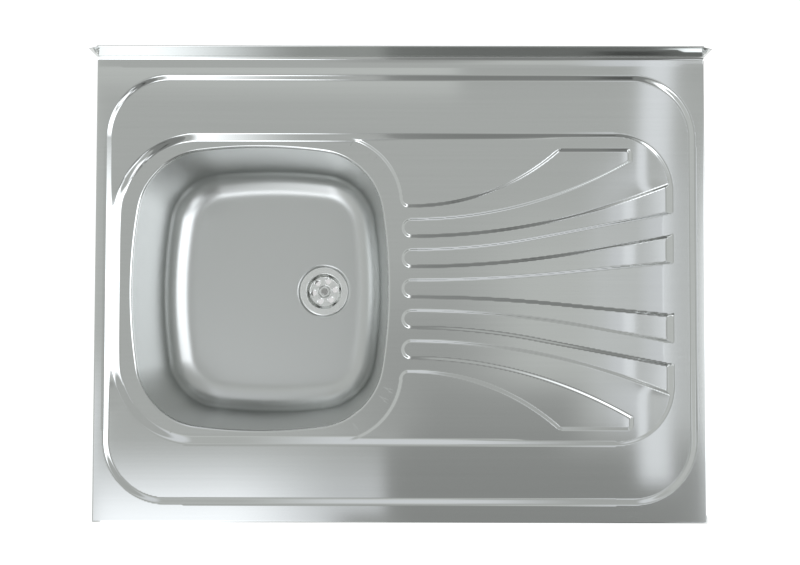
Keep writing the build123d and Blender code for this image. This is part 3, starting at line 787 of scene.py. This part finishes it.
    def bend_upstand(self, bm: BMesh, edges: list[BMEdge]) -> None:
        """Bends the upstand up at the wall and rolls its top edge back on itself.

        Args:
            bm: the deck's bmesh.
            edges: the open edges at the rear.
        """
        lean = math.radians(self.upstand_lean)
        first_turn = math.asin(self.lead_in / self.lead_radius)
        last_turn = math.pi / 2 - lean
        bend, roll = self.upstand_bend, self.roll
        middle_y = -bend * math.sin(first_turn)
        middle_z = self.lead_in**2 / (2 * self.lead_radius) + bend * math.cos(first_turn)
        widen = self.upstand_end / (self.half_width - self.fold)
        line = []
        for step in range(1, 9):
            turn = first_turn + (last_turn - first_turn) * step / 8
            width = 1 + (widen - 1) * step / 8
            line.append((middle_y + bend * math.sin(turn), middle_z - bend * math.cos(turn), width))
        foot_y, foot_z = line[-1][0], line[-1][1]
        roll_middle_z = self.upstand_height - roll
        face = (roll_middle_z + roll * math.sin(lean) - foot_z) / math.cos(lean)
        rows = 8
        for row in range(1, rows + 1):
            far = face * row / rows
            line.append((foot_y + far * math.sin(lean), foot_z + far * math.cos(lean), widen))
        head_y, head_z = line[-1][0], line[-1][1]
        roll_start = len(line)
        middle_y = head_y + roll * math.cos(lean)
        middle_z = head_z - roll * math.sin(lean)
        for step in range(1, 9):
            turn = math.pi - lean - math.pi * step / 8
            line.append((middle_y + roll * math.cos(turn), middle_z + roll * math.sin(turn), widen))
        tail_y, tail_z = line[-1][0], line[-1][1]
        tail = self.roll_tail
        line.append((tail_y - tail * math.sin(lean), tail_z - tail * math.cos(lean), widen))
        widened = 1.0
        for row, (back, rise, width) in enumerate(line):
            if row == roll_start:
                inner = self.upstand_end - self.ear + 0.6
                edges = [edge for edge in edges if all(abs(vert.co.x) < inner for vert in edge.verts)]
            verts, edges = pull_edges(bm, edges)
            for vert in verts:
                vert.co.x *= width / widened
                vert.co.y = self.bend_y + back
                vert.co.z = self.top + rise
                vert[self.layer] = (0.0, 0.0, 0.0)
            widened = width
        foot = Vector((self.upstand_end, self.bend_y + foot_y, self.top + foot_z))
        head = Vector((self.upstand_end - self.ear, self.bend_y + head_y, self.top + head_z))
        for side in (-1.0, 1.0):
            self.turn_ear(bm, foot, head, side)

    def turn_ear(self, bm: BMesh, foot: Vector, head: Vector, side: float) -> None:
        """Turns one top corner of the upstand forward about its crease.

        Args:
            bm: the deck's bmesh.
            foot: the crease's foot at the right end.
            head: its head.
            side: -1 for the left end, 1 for the right.
        """
        mirrored = Vector((side, 1.0, 1.0))
        foot, head = foot * mirrored, head * mirrored
        lean = math.radians(self.upstand_lean)
        crease = (head - foot).normalized()
        outwards = crease.cross(Vector((0.0, -math.cos(lean), math.sin(lean))))
        outwards *= math.copysign(1.0, outwards.x * side)
        inner = self.upstand_end - self.ear - 3.0
        low = foot.z - 0.1
        faces = [f for f in bm.faces if all(v.co.x * side > inner and v.co.z > low for v in f.verts)]
        parts = faces + list({edge for face in faces for edge in face.edges})
        parts += list({vert for face in faces for vert in face.verts})
        bmesh.ops.bisect_plane(bm, geom=parts, dist=0.02, plane_co=foot, plane_no=outwards)
        turned = [v for v in bm.verts if v.co.z > foot.z and (v.co - foot).dot(outwards) > 0.05]
        turn = Matrix.Rotation(-side * math.radians(self.ear_turn), 3, crease)
        bmesh.ops.rotate(bm, verts=turned, cent=foot, matrix=turn)


@dataclass
class BowlPanel:
    """The drawn bowl: drafted walls, round foot, flat floor and the recessed seat of the waste."""

    mouth: Mouth
    drain_x: float
    neck_z: float = 25.0
    floor_z: float = -129.0
    draft: float = 6.0
    foot_radius: float = 36.0
    foot_ease: float = 12.0
    seat_radius: float = 36.5
    seat_depth: float = 4.0
    seat_draft: float = 20.0
    seat_head: float = 4.5
    seat_foot: float = 0.9
    hole_radius: float = 26.0
    sheet: float = 0.8
    points: int = 320

    def wall_line(self) -> list[tuple[float, float]]:
        """Section of wall and foot: distance in from the mouth's outline, and height."""
        draft = math.radians(self.draft)
        steps = 400
        eased = self.foot_ease / self.foot_radius / 2
        length = self.foot_ease + (math.pi / 2 - draft - eased) * self.foot_radius
        along = np.linspace(0.0, length, steps + 1)
        bend = np.minimum(along / self.foot_ease, 1.0) / self.foot_radius
        turn = np.cumsum(bend) * length / steps
        across = np.cumsum(np.cos(turn)) * length / steps
        rise = np.cumsum(np.sin(turn)) * length / steps
        foot_top = self.floor_z + rise[-1]
        foot_inset = (self.neck_z - foot_top) * math.tan(draft) + across[-1]
        line = []
        rows = 14
        for row in range(rows):
            height = self.neck_z + (foot_top - self.neck_z) * row / rows
            line.append(((self.neck_z - height) * math.tan(draft), height))
        for step in range(steps, -1, -16):
            line.append((foot_inset - across[step], self.floor_z + rise[step]))
        return line

    def seat_line(self) -> list[tuple[float, float]]:
        """Section of the seat: distance from the drain's axis, and height."""
        draft = math.radians(self.seat_draft)
        share = math.tan((math.pi / 2 - draft) / 2)
        head = self.seat_radius + self.seat_head * share
        foot = self.seat_radius - self.seat_depth * math.tan(draft) - self.seat_foot * share
        line = [(head + 1.5, self.floor_z)]
        arcs = 8
        for arc in range(arcs + 1):
            turn = (math.pi / 2 - draft) * arc / arcs
            drop = self.seat_head * (1 - math.cos(turn))
            line.append((head - self.seat_head * math.sin(turn), self.floor_z - drop))
        seat_z = self.floor_z - self.seat_depth
        for arc in range(arcs + 1):
            turn = (math.pi / 2 - draft) * (1 - arc / arcs)
            rise = self.seat_foot * (1 - math.cos(turn))
            line.append((foot + self.seat_foot * math.sin(turn), seat_z + rise))
        line.append((self.hole_radius, seat_z))
        return line

    def build(self) -> BMesh:
        """Builds the bowl from rings that are bridged one to the next.

        Returns:
            The bmesh, in millimetres.
        """
        rings = []
        for inset, height in self.wall_line():
            rings.append((self.mouth.ring(self.points, inset), height))
        floor_ring = rings[-1][0]
        drain = np.array([self.drain_x, 0.0])
        outwards = floor_ring - drain
        outwards = outwards / np.linalg.norm(outwards, axis=1)[:, None]
        seat = self.seat_line()
        first_circle = drain + outwards * seat[0][0]
        spans = 8
        for span in range(1, spans):
            rings.append((floor_ring + (first_circle - floor_ring) * span / spans, self.floor_z))
        for radius, height in seat:
            rings.append((drain + outwards * radius, height))
        bm = bmesh.new()
        order = bm.verts.layers.int.new("order")
        verts = bmesh.ops.create_circle(bm, segments=self.points, radius=1.0)["verts"]
        for place, vert in enumerate(verts):
            vert[order] = place
        edges = bm.edges[:]
        for row, (ring, height) in enumerate(rings):
            if row > 0:
                verts, edges = pull_edges(bm, edges)
            for vert in verts:
                x, y = ring[vert[order]]
                vert.co = (x, y, height)
        bm.verts.layers.int.remove(order)
        bm.normal_update()
        if max(bm.faces, key=lambda face: -face.calc_center_median().z).normal.z < 0:
            bmesh.ops.reverse_faces(bm, faces=bm.faces[:])
        bmesh.ops.solidify(bm, geom=bm.faces[:], thickness=self.sheet)
        return bm


@dataclass
class StrainerPanel:
    """The strainer's pressed sheet: flange, dish with its ring of holes, and the dimple for the screw."""

    centre_x: float
    flange_z: float = -130.7
    radius: float = 35.58
    sheet: float = 0.8
    edge_round: float = 0.8
    hole_round: float = 0.9
    dish_edge: float = 25.3
    dish_width: float = 3.0
    dish_depth: float = 7.0
    dimple_edge: float = 9.3
    dimple_width: float = 1.6
    dimple_depth: float = 1.5
    hole_radius: float = 3.9
    hole_circle: float = 15.8
    hole_count: int = 6
    first_hole: float = 9.0
    cell: float = 0.9

    def height(self, x: Array, y: Array) -> Array:
        """Height of the upper face, from places measured from the strainer's axis."""
        out = np.hypot(x, y)
        dish = ramp(self.dish_edge - out, self.dish_width, 0.45 * self.dish_width)
        dimple = ramp(self.dimple_edge - out, self.dimple_width, 0.45 * self.dimple_width)
        turned = ramp(out - self.radius + self.edge_round, self.edge_round, 0.2) ** 2
        at_hole = np.clip(1.0 - self.from_holes(x, y) / self.hole_round, 0.0, 1.0) ** 2
        pressed = self.dish_depth * dish + self.dimple_depth * dimple
        return self.flange_z - pressed - 0.5 * self.edge_round * turned - 0.5 * self.hole_round * at_hole

    def from_holes(self, x: Array, y: Array) -> Array:
        """Distance from the edge of the nearest hole."""
        nearest = np.full_like(x, self.radius)
        for hole in range(self.hole_count):
            turn = math.radians(self.first_hole) + 2 * math.pi * hole / self.hole_count
            away = np.hypot(x - self.hole_circle * math.cos(turn), y - self.hole_circle * math.sin(turn))
            nearest = np.minimum(nearest, away - self.hole_radius)
        return nearest

    def kept(self, x: Array, y: Array) -> Array:
        """Distance inside the sheet, negative in its holes and outside its edge."""
        return np.minimum(self.radius - np.hypot(x, y), self.from_holes(x, y))

    def build(self) -> BMesh:
        """Builds the sheet.

        Returns:
            The bmesh, in millimetres.
        """
        bm = bmesh.new()
        count = round(2 * self.radius / self.cell)
        bmesh.ops.create_grid(bm, x_segments=count, y_segments=count, size=self.radius)
        layer = bm.verts.layers.float_vector.new(MADE_NORMAL)
        x, y = places_of(bm.verts)
        outside = self.kept(x, y) < 0.4 * self.cell
        gone = [vert for vert, is_gone in zip(bm.verts[:], outside) if is_gone]
        bmesh.ops.delete(bm, geom=gone, context="VERTS")
        rim = [vert for vert in bm.verts if vert.is_boundary]
        near = 0.01
        for _ in range(3):
            x, y = places_of(rim)
            away = self.kept(x, y)
            slope_x, slope_y = (change / (2 * near) for change in differences(self.kept, x, y, near))
            for vert, far, along_x, along_y in zip(rim, away, slope_x, slope_y):
                vert.co.x -= far * along_x
                vert.co.y -= far * along_y
        x, y = places_of(bm.verts)
        normals = surface_normals(self.height, x, y, 0.1)
        for vert, height, normal in zip(bm.verts, self.height(x, y), normals):
            vert.co.z = height
            vert[layer] = normal
        bmesh.ops.translate(bm, vec=(self.centre_x, 0.0, 0.0), verts=bm.verts[:])
        bmesh.ops.solidify(bm, geom=bm.faces[:], thickness=self.sheet)
        return bm


# ================================================================ finishes
def calculate(tree: NodeTree, operation: str, first: NodeSocket, second: NodeSocket | float) -> NodeSocket:
    """Joins two numbers of a node tree by a calculation.

    Args:
        tree: the node tree.
        operation: the calculation.
        first: its first number.
        second: its second number, a socket or a fixed value.

    Returns:
        The result's socket.
    """
    made = tree.nodes.new("ShaderNodeMath")
    made.operation = operation
    tree.links.new(first, made.inputs[0])
    if isinstance(second, NodeSocket):
        tree.links.new(second, made.inputs[1])
    else:
        made.inputs[1].default_value = second
    return made.outputs["Value"]


class Recipe:
    """The node tree of one finish."""

    def __init__(self, name: str) -> None:
        """Starts a material with a principled surface.

        Args:
            name: the material's name.
        """
        self.material = bpy.data.materials.new(name)
        self.material.use_nodes = True
        self.tree = self.material.node_tree
        self.surface = self.tree.nodes["Principled BSDF"]

    def node(self, kind: str, **settings: object) -> Node:
        """Adds a node and sets its named properties."""
        made = self.tree.nodes.new(kind)
        for name, value in settings.items():
            setattr(made, name, value)
        return made

    def link(self, source: NodeSocket, target: NodeSocket) -> None:
        """Joins two sockets."""
        self.tree.links.new(source, target)

    def places(self, scale: tuple[float, float, float]) -> NodeSocket:
        """Object coordinates, scaled.

        Args:
            scale: repeats in a metre along X, Y and Z.

        Returns:
            The scaled vector.
        """
        coordinates = self.node("ShaderNodeTexCoord")
        mapping = self.node("ShaderNodeMapping")
        mapping.inputs["Scale"].default_value = scale
        self.link(coordinates.outputs["Object"], mapping.inputs["Vector"])
        return mapping.outputs["Vector"]

    def noise(self, vector: NodeSocket, scale: float, detail: float = 3.0) -> NodeSocket:
        """A noise pattern between 0 and 1."""
        noise = self.node("ShaderNodeTexNoise")
        noise.inputs["Scale"].default_value = scale
        noise.inputs["Detail"].default_value = detail
        self.link(vector, noise.inputs["Vector"])
        return noise.outputs["Fac"]

    def spread(self, value: NodeSocket, low: float, high: float) -> NodeSocket:
        """Spreads a pattern's middle part between two numbers."""
        span = self.node("ShaderNodeMapRange", clamp=False)
        span.inputs["From Min"].default_value = 0.3
        span.inputs["From Max"].default_value = 0.7
        span.inputs["To Min"].default_value = low
        span.inputs["To Max"].default_value = high
        self.link(value, span.inputs["Value"])
        return span.outputs["Result"]

    def blend(self, share: NodeSocket, first: tuple, second: tuple) -> NodeSocket:
        """A colour between two, by a pattern's share."""
        mix = self.node("ShaderNodeMix", data_type="RGBA")
        for socket in mix.inputs:
            if socket.identifier == "A_Color":
                socket.default_value = (*first, 1.0)
            if socket.identifier == "B_Color":
                socket.default_value = (*second, 1.0)
        self.link(share, mix.inputs["Factor"])
        return [socket for socket in mix.outputs if socket.identifier == "Result_Color"][0]

    def bump(self, height: NodeSocket, strength: float, distance: float) -> None:
        """Gives the surface a relief.

        Args:
            height: the relief's pattern.
            strength: its share, from 0 to 1.
            distance: its depth in metres.
        """
        relief = self.node("ShaderNodeBump")
        relief.inputs["Strength"].default_value = strength
        relief.inputs["Distance"].default_value = distance
        self.link(height, relief.inputs["Height"])
        self.link(relief.outputs["Normal"], self.surface.inputs["Normal"])


@dataclass(frozen=True)
class Steel:
    """Stainless or coated steel, with faint lines along its grain."""

    name: str
    colour: tuple[float, float, float]
    shade: tuple[float, float, float]
    gloss: float
    grain: tuple[float, float, float] = (3.0, 260.0, 260.0)
    grain_depth: float = 0.0000012

    def material(self) -> Material:
        """Builds the finish."""
        recipe = Recipe(self.name)
        surface = recipe.surface
        surface.inputs["Metallic"].default_value = 1.0
        lines = recipe.noise(recipe.places(self.grain), 1.0, 4.0)
        tone = recipe.blend(recipe.spread(lines, 0.0, 1.0), self.shade, self.colour)
        recipe.link(tone, surface.inputs["Base Color"])
        surface.inputs["Roughness"].default_value = self.gloss
        if self.grain_depth > 0.0:
            recipe.bump(lines, 0.25, self.grain_depth)
        return recipe.material


@dataclass(frozen=True)
class Galvanised:
    """Zinc-coated steel with its spangle."""

    name: str
    colour: tuple[float, float, float] = (0.55, 0.57, 0.58)
    shade: tuple[float, float, float] = (0.40, 0.42, 0.44)
    spangle: float = 160.0

    def material(self) -> Material:
        """Builds the finish."""
        recipe = Recipe(self.name)
        surface = recipe.surface
        surface.inputs["Metallic"].default_value = 1.0
        cells = recipe.node("ShaderNodeTexVoronoi")
        cells.inputs["Scale"].default_value = self.spangle
        recipe.link(recipe.places((1.0, 1.0, 1.0)), cells.inputs["Vector"])
        grey = recipe.node("ShaderNodeRGBToBW")
        recipe.link(cells.outputs["Color"], grey.inputs["Color"])
        recipe.link(recipe.blend(grey.outputs["Val"], self.shade, self.colour), surface.inputs["Base Color"])
        recipe.link(recipe.spread(grey.outputs["Val"], 0.32, 0.5), surface.inputs["Roughness"])
        recipe.bump(grey.outputs["Val"], 0.3, 0.00002)
        return recipe.material


@dataclass(frozen=True)
class Moulded:
    """Rubber, plastic or felt, with a fine relief and an uneven tone."""

    name: str
    colour: tuple[float, float, float]
    shade: tuple[float, float, float]
    roughness: float
    relief_scale: float
    relief_depth: float

    def material(self) -> Material:
        """Builds the finish."""
        recipe = Recipe(self.name)
        surface = recipe.surface
        surface.inputs["Roughness"].default_value = self.roughness
        places = recipe.places((1.0, 1.0, 1.0))
        tone = recipe.noise(places, 40.0)
        colour = recipe.blend(recipe.spread(tone, 0.0, 1.0), self.shade, self.colour)
        recipe.link(colour, surface.inputs["Base Color"])
        recipe.bump(recipe.noise(places, self.relief_scale, 4.0), 0.5, self.relief_depth)
        return recipe.material


POLISHED = Steel("polished_steel", (0.650, 0.662, 0.652), (0.635, 0.647, 0.637), 0.06)
SATIN = Steel("satin_steel", (0.600, 0.612, 0.602), (0.585, 0.597, 0.587), 0.28, (900.0, 900.0, 900.0), 0.0)
STRAINER = Steel("strainer_steel", (0.79, 0.80, 0.785), (0.76, 0.77, 0.755), 0.27, (200.0, 200.0, 200.0), 0.0)
SCREW = Steel("screw_steel", (0.50, 0.50, 0.49), (0.42, 0.42, 0.41), 0.20, (500.0, 500.0, 500.0))
ZINC = Steel("zinc_screw", (0.66, 0.66, 0.60), (0.52, 0.53, 0.50), 0.30, (400.0, 400.0, 400.0))
BRASS = Steel("insert_brass", (0.72, 0.54, 0.24), (0.60, 0.43, 0.18), 0.26, (400.0, 400.0, 400.0))
GALVANISED = Galvanised("galvanised_steel")
RUBBER = Moulded("seal_rubber", (0.045, 0.046, 0.048), (0.028, 0.029, 0.030), 0.62, 900.0, 0.00005)
FELT = Moulded("bitumen_felt", (0.060, 0.058, 0.055), (0.032, 0.031, 0.030), 0.85, 420.0, 0.0003)
PLASTIC = Moulded("white_plastic", (0.80, 0.80, 0.78), (0.75, 0.75, 0.73), 0.38, 700.0, 0.00004)


@dataclass
class Fittings:
    """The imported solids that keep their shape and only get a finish."""

    finishes: dict[str, tuple[str, ...]] = field(
        default_factory=lambda: {
            "galvanised_steel": ("rear_rail", "front_beam", "rear_beam", "drainboard_beam_left",
                                 "drainboard_beam_right", "clip_left_front", "clip_left_rear",
                                 "clip_right_front", "clip_right_rear"),
            "bitumen_felt": ("damping_pad",),
            "seal_rubber": ("strainer_seal", "bowl_seal"),
            "white_plastic": ("outlet_body",),
            "insert_brass": ("insert_nut",),
            "strainer_steel": ("screw_washer",),
            "screw_steel": ("strainer_screw",),
            "zinc_screw": ("clip_screw_left_front", "clip_screw_left_rear", "clip_screw_right_front",
                           "clip_screw_right_rear"),
        }
    )

    def dress(self, nodes: dict[str, Object], materials: dict[str, Material]) -> None:
        """Gives every carried-over solid its finish.

        Args:
            nodes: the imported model's objects by name.
            materials: the finishes by slot.
        """
        for slot, names in self.finishes.items():
            for name in names:
                mesh = nodes[name].data
                mesh.materials.clear()
                mesh.materials.append(materials[slot])
                log.info("%s: %s", name, slot)


# ================================================================ studio
LAMP_LEVEL = 0.8  # above it a panel counts as a lamp
LAMP_BLUE = 1.04
WALL_BLUE = 0.985
RED_SHARE = 0.975
RAYS = ("Is Camera Ray", "Is Glossy Ray", "Is Transmission Ray")


@dataclass(frozen=True)
class Panel:
    """One panel of the studio, by the direction in which polished steel sees it."""

    x_from: float
    x_to: float
    y_from: float
    y_to: float
    soft_x: float
    soft_y: float
    level: float

    @property
    def colour(self) -> tuple[float, float, float, float]:
        """The panel's light, a little cold where it is a lamp."""
        blue = LAMP_BLUE if self.level > LAMP_LEVEL else WALL_BLUE
        return (self.level * RED_SHARE, self.level, self.level * blue, 1.0)


PANELS = (
    Panel(-2.0, 0.055, 0.214, 2.0, 0.01, 0.012, 0.72),
    Panel(0.055, 2.0, 0.214, 2.0, 0.01, 0.012, 0.56),
    Panel(-2.0, -0.10, 0.45, 2.0, 0.06, 0.20, 0.62),
    Panel(-0.10, 0.12, 0.45, 2.0, 0.06, 0.20, 0.90),
    Panel(-2.0, -0.36, -2.0, 2.0, 0.05, 0.20, 0.70),
    Panel(-1.2, -0.36, -1.5, -0.80, 0.05, 0.05, 0.42),
    Panel(0.07, 0.24, -0.08, 0.09, 0.05, 0.05, 0.69),
    Panel(0.175, 0.250, -0.10, 0.14, 0.03, 0.03, 0.84),
    Panel(-0.05, 0.06, -0.14, 0.02, 0.05, 0.05, 0.48),
    Panel(0.0, 0.15, -0.135, -0.065, 0.02, 0.02, 0.42),
    Panel(-0.017, 0.45, -1.5, -0.115, 0.006, 0.03, 0.36),
    Panel(0.02, 0.42, -1.5, -0.40, 0.05, 0.08, 0.30),
    Panel(0.18, 0.24, -0.85, -0.58, 0.02, 0.05, 0.13),
    Panel(-0.318, -0.017, -0.42, -0.150, 0.008, 0.05, 0.86),
    Panel(-0.318, -0.11, -0.42, -0.155, 0.06, 0.05, 1.60),
    Panel(-0.318, -0.07, -0.41, -0.25, 0.04, 0.035, 3.2),
    Panel(-0.060, -0.005, -0.40, -0.182, 0.02, 0.006, 0.42),
    Panel(-0.318, -0.175, -1.5, -0.38, 0.09, 0.04, 2.6),
    Panel(-0.40, -0.278, -0.30, 0.32, 0.006, 0.03, 0.70),
    Panel(-0.40, -0.278, -0.30, -0.05, 0.006, 0.04, 1.10),
    Panel(0.219, 0.247, -0.15, 0.26, 0.006, 0.01, 1.05),
    Panel(0.281, 1.5, -0.25, 0.13, 0.005, 0.07, 2.5),
    Panel(0.246, 0.318, -0.52, -0.40, 0.014, 0.015, 2.5),
    Panel(0.42, 0.66, -0.64, -0.33, 0.05, 0.06, 1.9),
)


@dataclass
class Studio:
    """Floor, soft light and the camera at the photograph's viewpoint."""

    floor_z: float = -183.9
    floor_half: float = 6000.0
    floor_grey: float = 0.50
    floor_glow: float = 0.66
    sky_level: float = 0.585
    horizon_low: float = 0.03
    horizon_high: float = 0.08
    camera_place: tuple[float, float, float] = (3.4, -40.9, 1400.0)
    camera_turn: tuple[float, float, float] = (2.036, 0.136, 0.122)
    focal_pixels: float = 1041.0
    picture_width: float = 800.0
    sensor: float = 36.0
    lamp_height: float = 2.4
    lamp_size: float = 2.2
    lamp_power: float = 26.0

    def build_camera(self) -> Object:
        """Places the camera.

        Returns:
            The camera's object.
        """
        data = bpy.data.cameras.new("viewpoint")
        data.sensor_width = self.sensor
        data.lens = self.focal_pixels / self.picture_width * self.sensor
        data.clip_start = 0.01
        data.clip_end = 50.0
        camera = add_to_scene("viewpoint", data)
        camera.location = Vector(self.camera_place) * MM
        camera.rotation_euler = Euler([math.radians(angle) for angle in self.camera_turn])
        bpy.context.scene.camera = camera
        return camera

    def build_floor(self) -> Object:
        """Makes the pale floor, which keeps the shadow.

        Returns:
            The floor's object.
        """
        bm = bmesh.new()
        bmesh.ops.create_grid(bm, x_segments=1, y_segments=1, size=self.floor_half * MM)
        bmesh.ops.translate(bm, vec=(0.0, 0.0, self.floor_z * MM), verts=bm.verts[:])
        mesh = bpy.data.meshes.new("floor")
        bm.to_mesh(mesh)
        bm.free()
        floor = add_to_scene("floor", mesh)
        recipe = Recipe("floor_paper")
        grey = self.floor_grey
        recipe.surface.inputs["Base Color"].default_value = (grey, grey, grey, 1.0)
        recipe.surface.inputs["Roughness"].default_value = 1.0
        recipe.surface.inputs["Specular IOR Level"].default_value = 0.0
        path = recipe.node("ShaderNodeLightPath")
        camera, glossy, passing = (path.outputs[ray] for ray in RAYS)
        seen = calculate(recipe.tree, "MAXIMUM", camera, glossy)
        seen = calculate(recipe.tree, "MAXIMUM", seen, passing)
        glow = calculate(recipe.tree, "MULTIPLY", seen, self.floor_glow)
        recipe.surface.inputs["Emission Color"].default_value = (1.0, 1.0, 1.0, 1.0)
        recipe.link(glow, recipe.surface.inputs["Emission Strength"])
        mesh.materials.append(recipe.material)
        return floor

    def build_sky(self) -> None:
        """Builds the studio's walls and panels as seen from the sink."""
        world = bpy.data.worlds.new("studio")
        bpy.context.scene.world = world
        world.use_nodes = True
        tree = world.node_tree
        background = tree.nodes["Background"]
        coordinates = tree.nodes.new("ShaderNodeTexCoord")
        axes = tree.nodes.new("ShaderNodeSeparateXYZ")
        tree.links.new(coordinates.outputs["Generated"], axes.inputs["Vector"])

        def band(axis: str, start: float, end: float, soft: float) -> NodeSocket:
            """Share between two places along an axis, with soft ends."""
            halves = []
            for low, high in ((start - soft, start + soft), (end + soft, end - soft)):
                span = tree.nodes.new("ShaderNodeMapRange")
                span.interpolation_type = "SMOOTHSTEP"
                rising = low < high
                span.inputs["From Min"].default_value = low if rising else high
                span.inputs["From Max"].default_value = high if rising else low
                span.inputs["To Min"].default_value = 0.0 if rising else 1.0
                span.inputs["To Max"].default_value = 1.0 if rising else 0.0
                tree.links.new(axes.outputs[axis], span.inputs["Value"])
                halves.append(span.outputs["Result"])
            return calculate(tree, "MULTIPLY", *halves)

        wall = tree.nodes.new("ShaderNodeRGB")
        wall.outputs["Color"].default_value = Panel(0.0, 0.0, 0.0, 0.0, 0.0, 0.0, self.sky_level).colour
        light = wall.outputs["Color"]
        for panel in PANELS:
            across = band("X", panel.x_from, panel.x_to, panel.soft_x)
            along = band("Y", panel.y_from, panel.y_to, panel.soft_y)
            paint = tree.nodes.new("ShaderNodeRGB")
            paint.outputs["Color"].default_value = panel.colour
            mix = tree.nodes.new("ShaderNodeMixRGB")
            tree.links.new(calculate(tree, "MULTIPLY", across, along), mix.inputs["Fac"])
            tree.links.new(light, mix.inputs["Color1"])
            tree.links.new(paint.outputs["Color"], mix.inputs["Color2"])
            light = mix.outputs["Color"]
        horizon = tree.nodes.new("ShaderNodeMapRange")
        horizon.inputs["From Min"].default_value = self.horizon_low
        horizon.inputs["From Max"].default_value = self.horizon_high
        horizon.inputs["To Min"].default_value = 1.0
        horizon.inputs["To Max"].default_value = 0.0
        tree.links.new(axes.outputs["Z"], horizon.inputs["Value"])
        path = tree.nodes.new("ShaderNodeLightPath")
        camera, glossy, passing = (path.outputs[ray] for ray in RAYS)
        mirrored = calculate(tree, "MAXIMUM", glossy, passing)
        mirrored = calculate(tree, "MULTIPLY", mirrored, horizon.outputs["Result"])
        white = tree.nodes.new("ShaderNodeMixRGB")
        white.inputs["Color2"].default_value = (1.0, 1.0, 1.0, 1.0)
        tree.links.new(calculate(tree, "MAXIMUM", camera, mirrored), white.inputs["Fac"])
        tree.links.new(light, white.inputs["Color1"])
        tree.links.new(white.outputs["Color"], background.inputs["Color"])

    def build_lamp(self) -> Object:
        """Hangs one wide lamp over the sink, for its matt parts.

        Returns:
            The lamp's object.
        """
        data = bpy.data.lights.new("ceiling_lamp", "AREA")
        data.size = self.lamp_size
        data.energy = self.lamp_power
        lamp = add_to_scene("ceiling_lamp", data)
        lamp.location = (0.0, 0.0, self.lamp_height)
        lamp.visible_glossy = False
        return lamp

    def build(self) -> None:
        """Builds the studio."""
        bpy.context.scene.view_settings.view_transform = "Standard"
        self.build_camera()
        self.build_floor()
        self.build_sky()
        self.build_lamp()


def main() -> None:
    """Builds the studio and every piece, and reports each one."""
    logging.basicConfig(level=logging.INFO, format="%(name)s %(message)s")
    Studio().build()
    finishes = (POLISHED, SATIN, STRAINER, SCREW, ZINC, BRASS, GALVANISED, RUBBER, FELT, PLASTIC)
    materials = {finish.name: finish.material() for finish in finishes}
    bowl_low, bowl_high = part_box("bowl")
    strainer_low, strainer_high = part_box("strainer")
    centre_x = (bowl_low.x + bowl_high.x) / 2 / MM
    drain_x = (strainer_low.x + strainer_high.x) / 2 / MM
    mouth = Mouth(centre_x)
    board = Drainboard(start=15.0, end=358.0)

    deck = in_metres(DeckPanel(mouth, board).build(), "deck_panel", materials[Slot.POLISHED.value])
    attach(deck, "sink")
    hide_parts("deck")

    bowl = in_metres(BowlPanel(mouth, drain_x).build(), "bowl_panel", materials[Slot.SATIN.value])
    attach(bowl, "sink")
    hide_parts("bowl")

    strainer = in_metres(StrainerPanel(drain_x).build(), "strainer_panel", materials[Slot.STRAINER.value])
    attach(strainer, "strainer")
    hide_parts("strainer")

    Fittings().dress(frame["nodes"], materials)


if __name__ == "__main__":
    main()
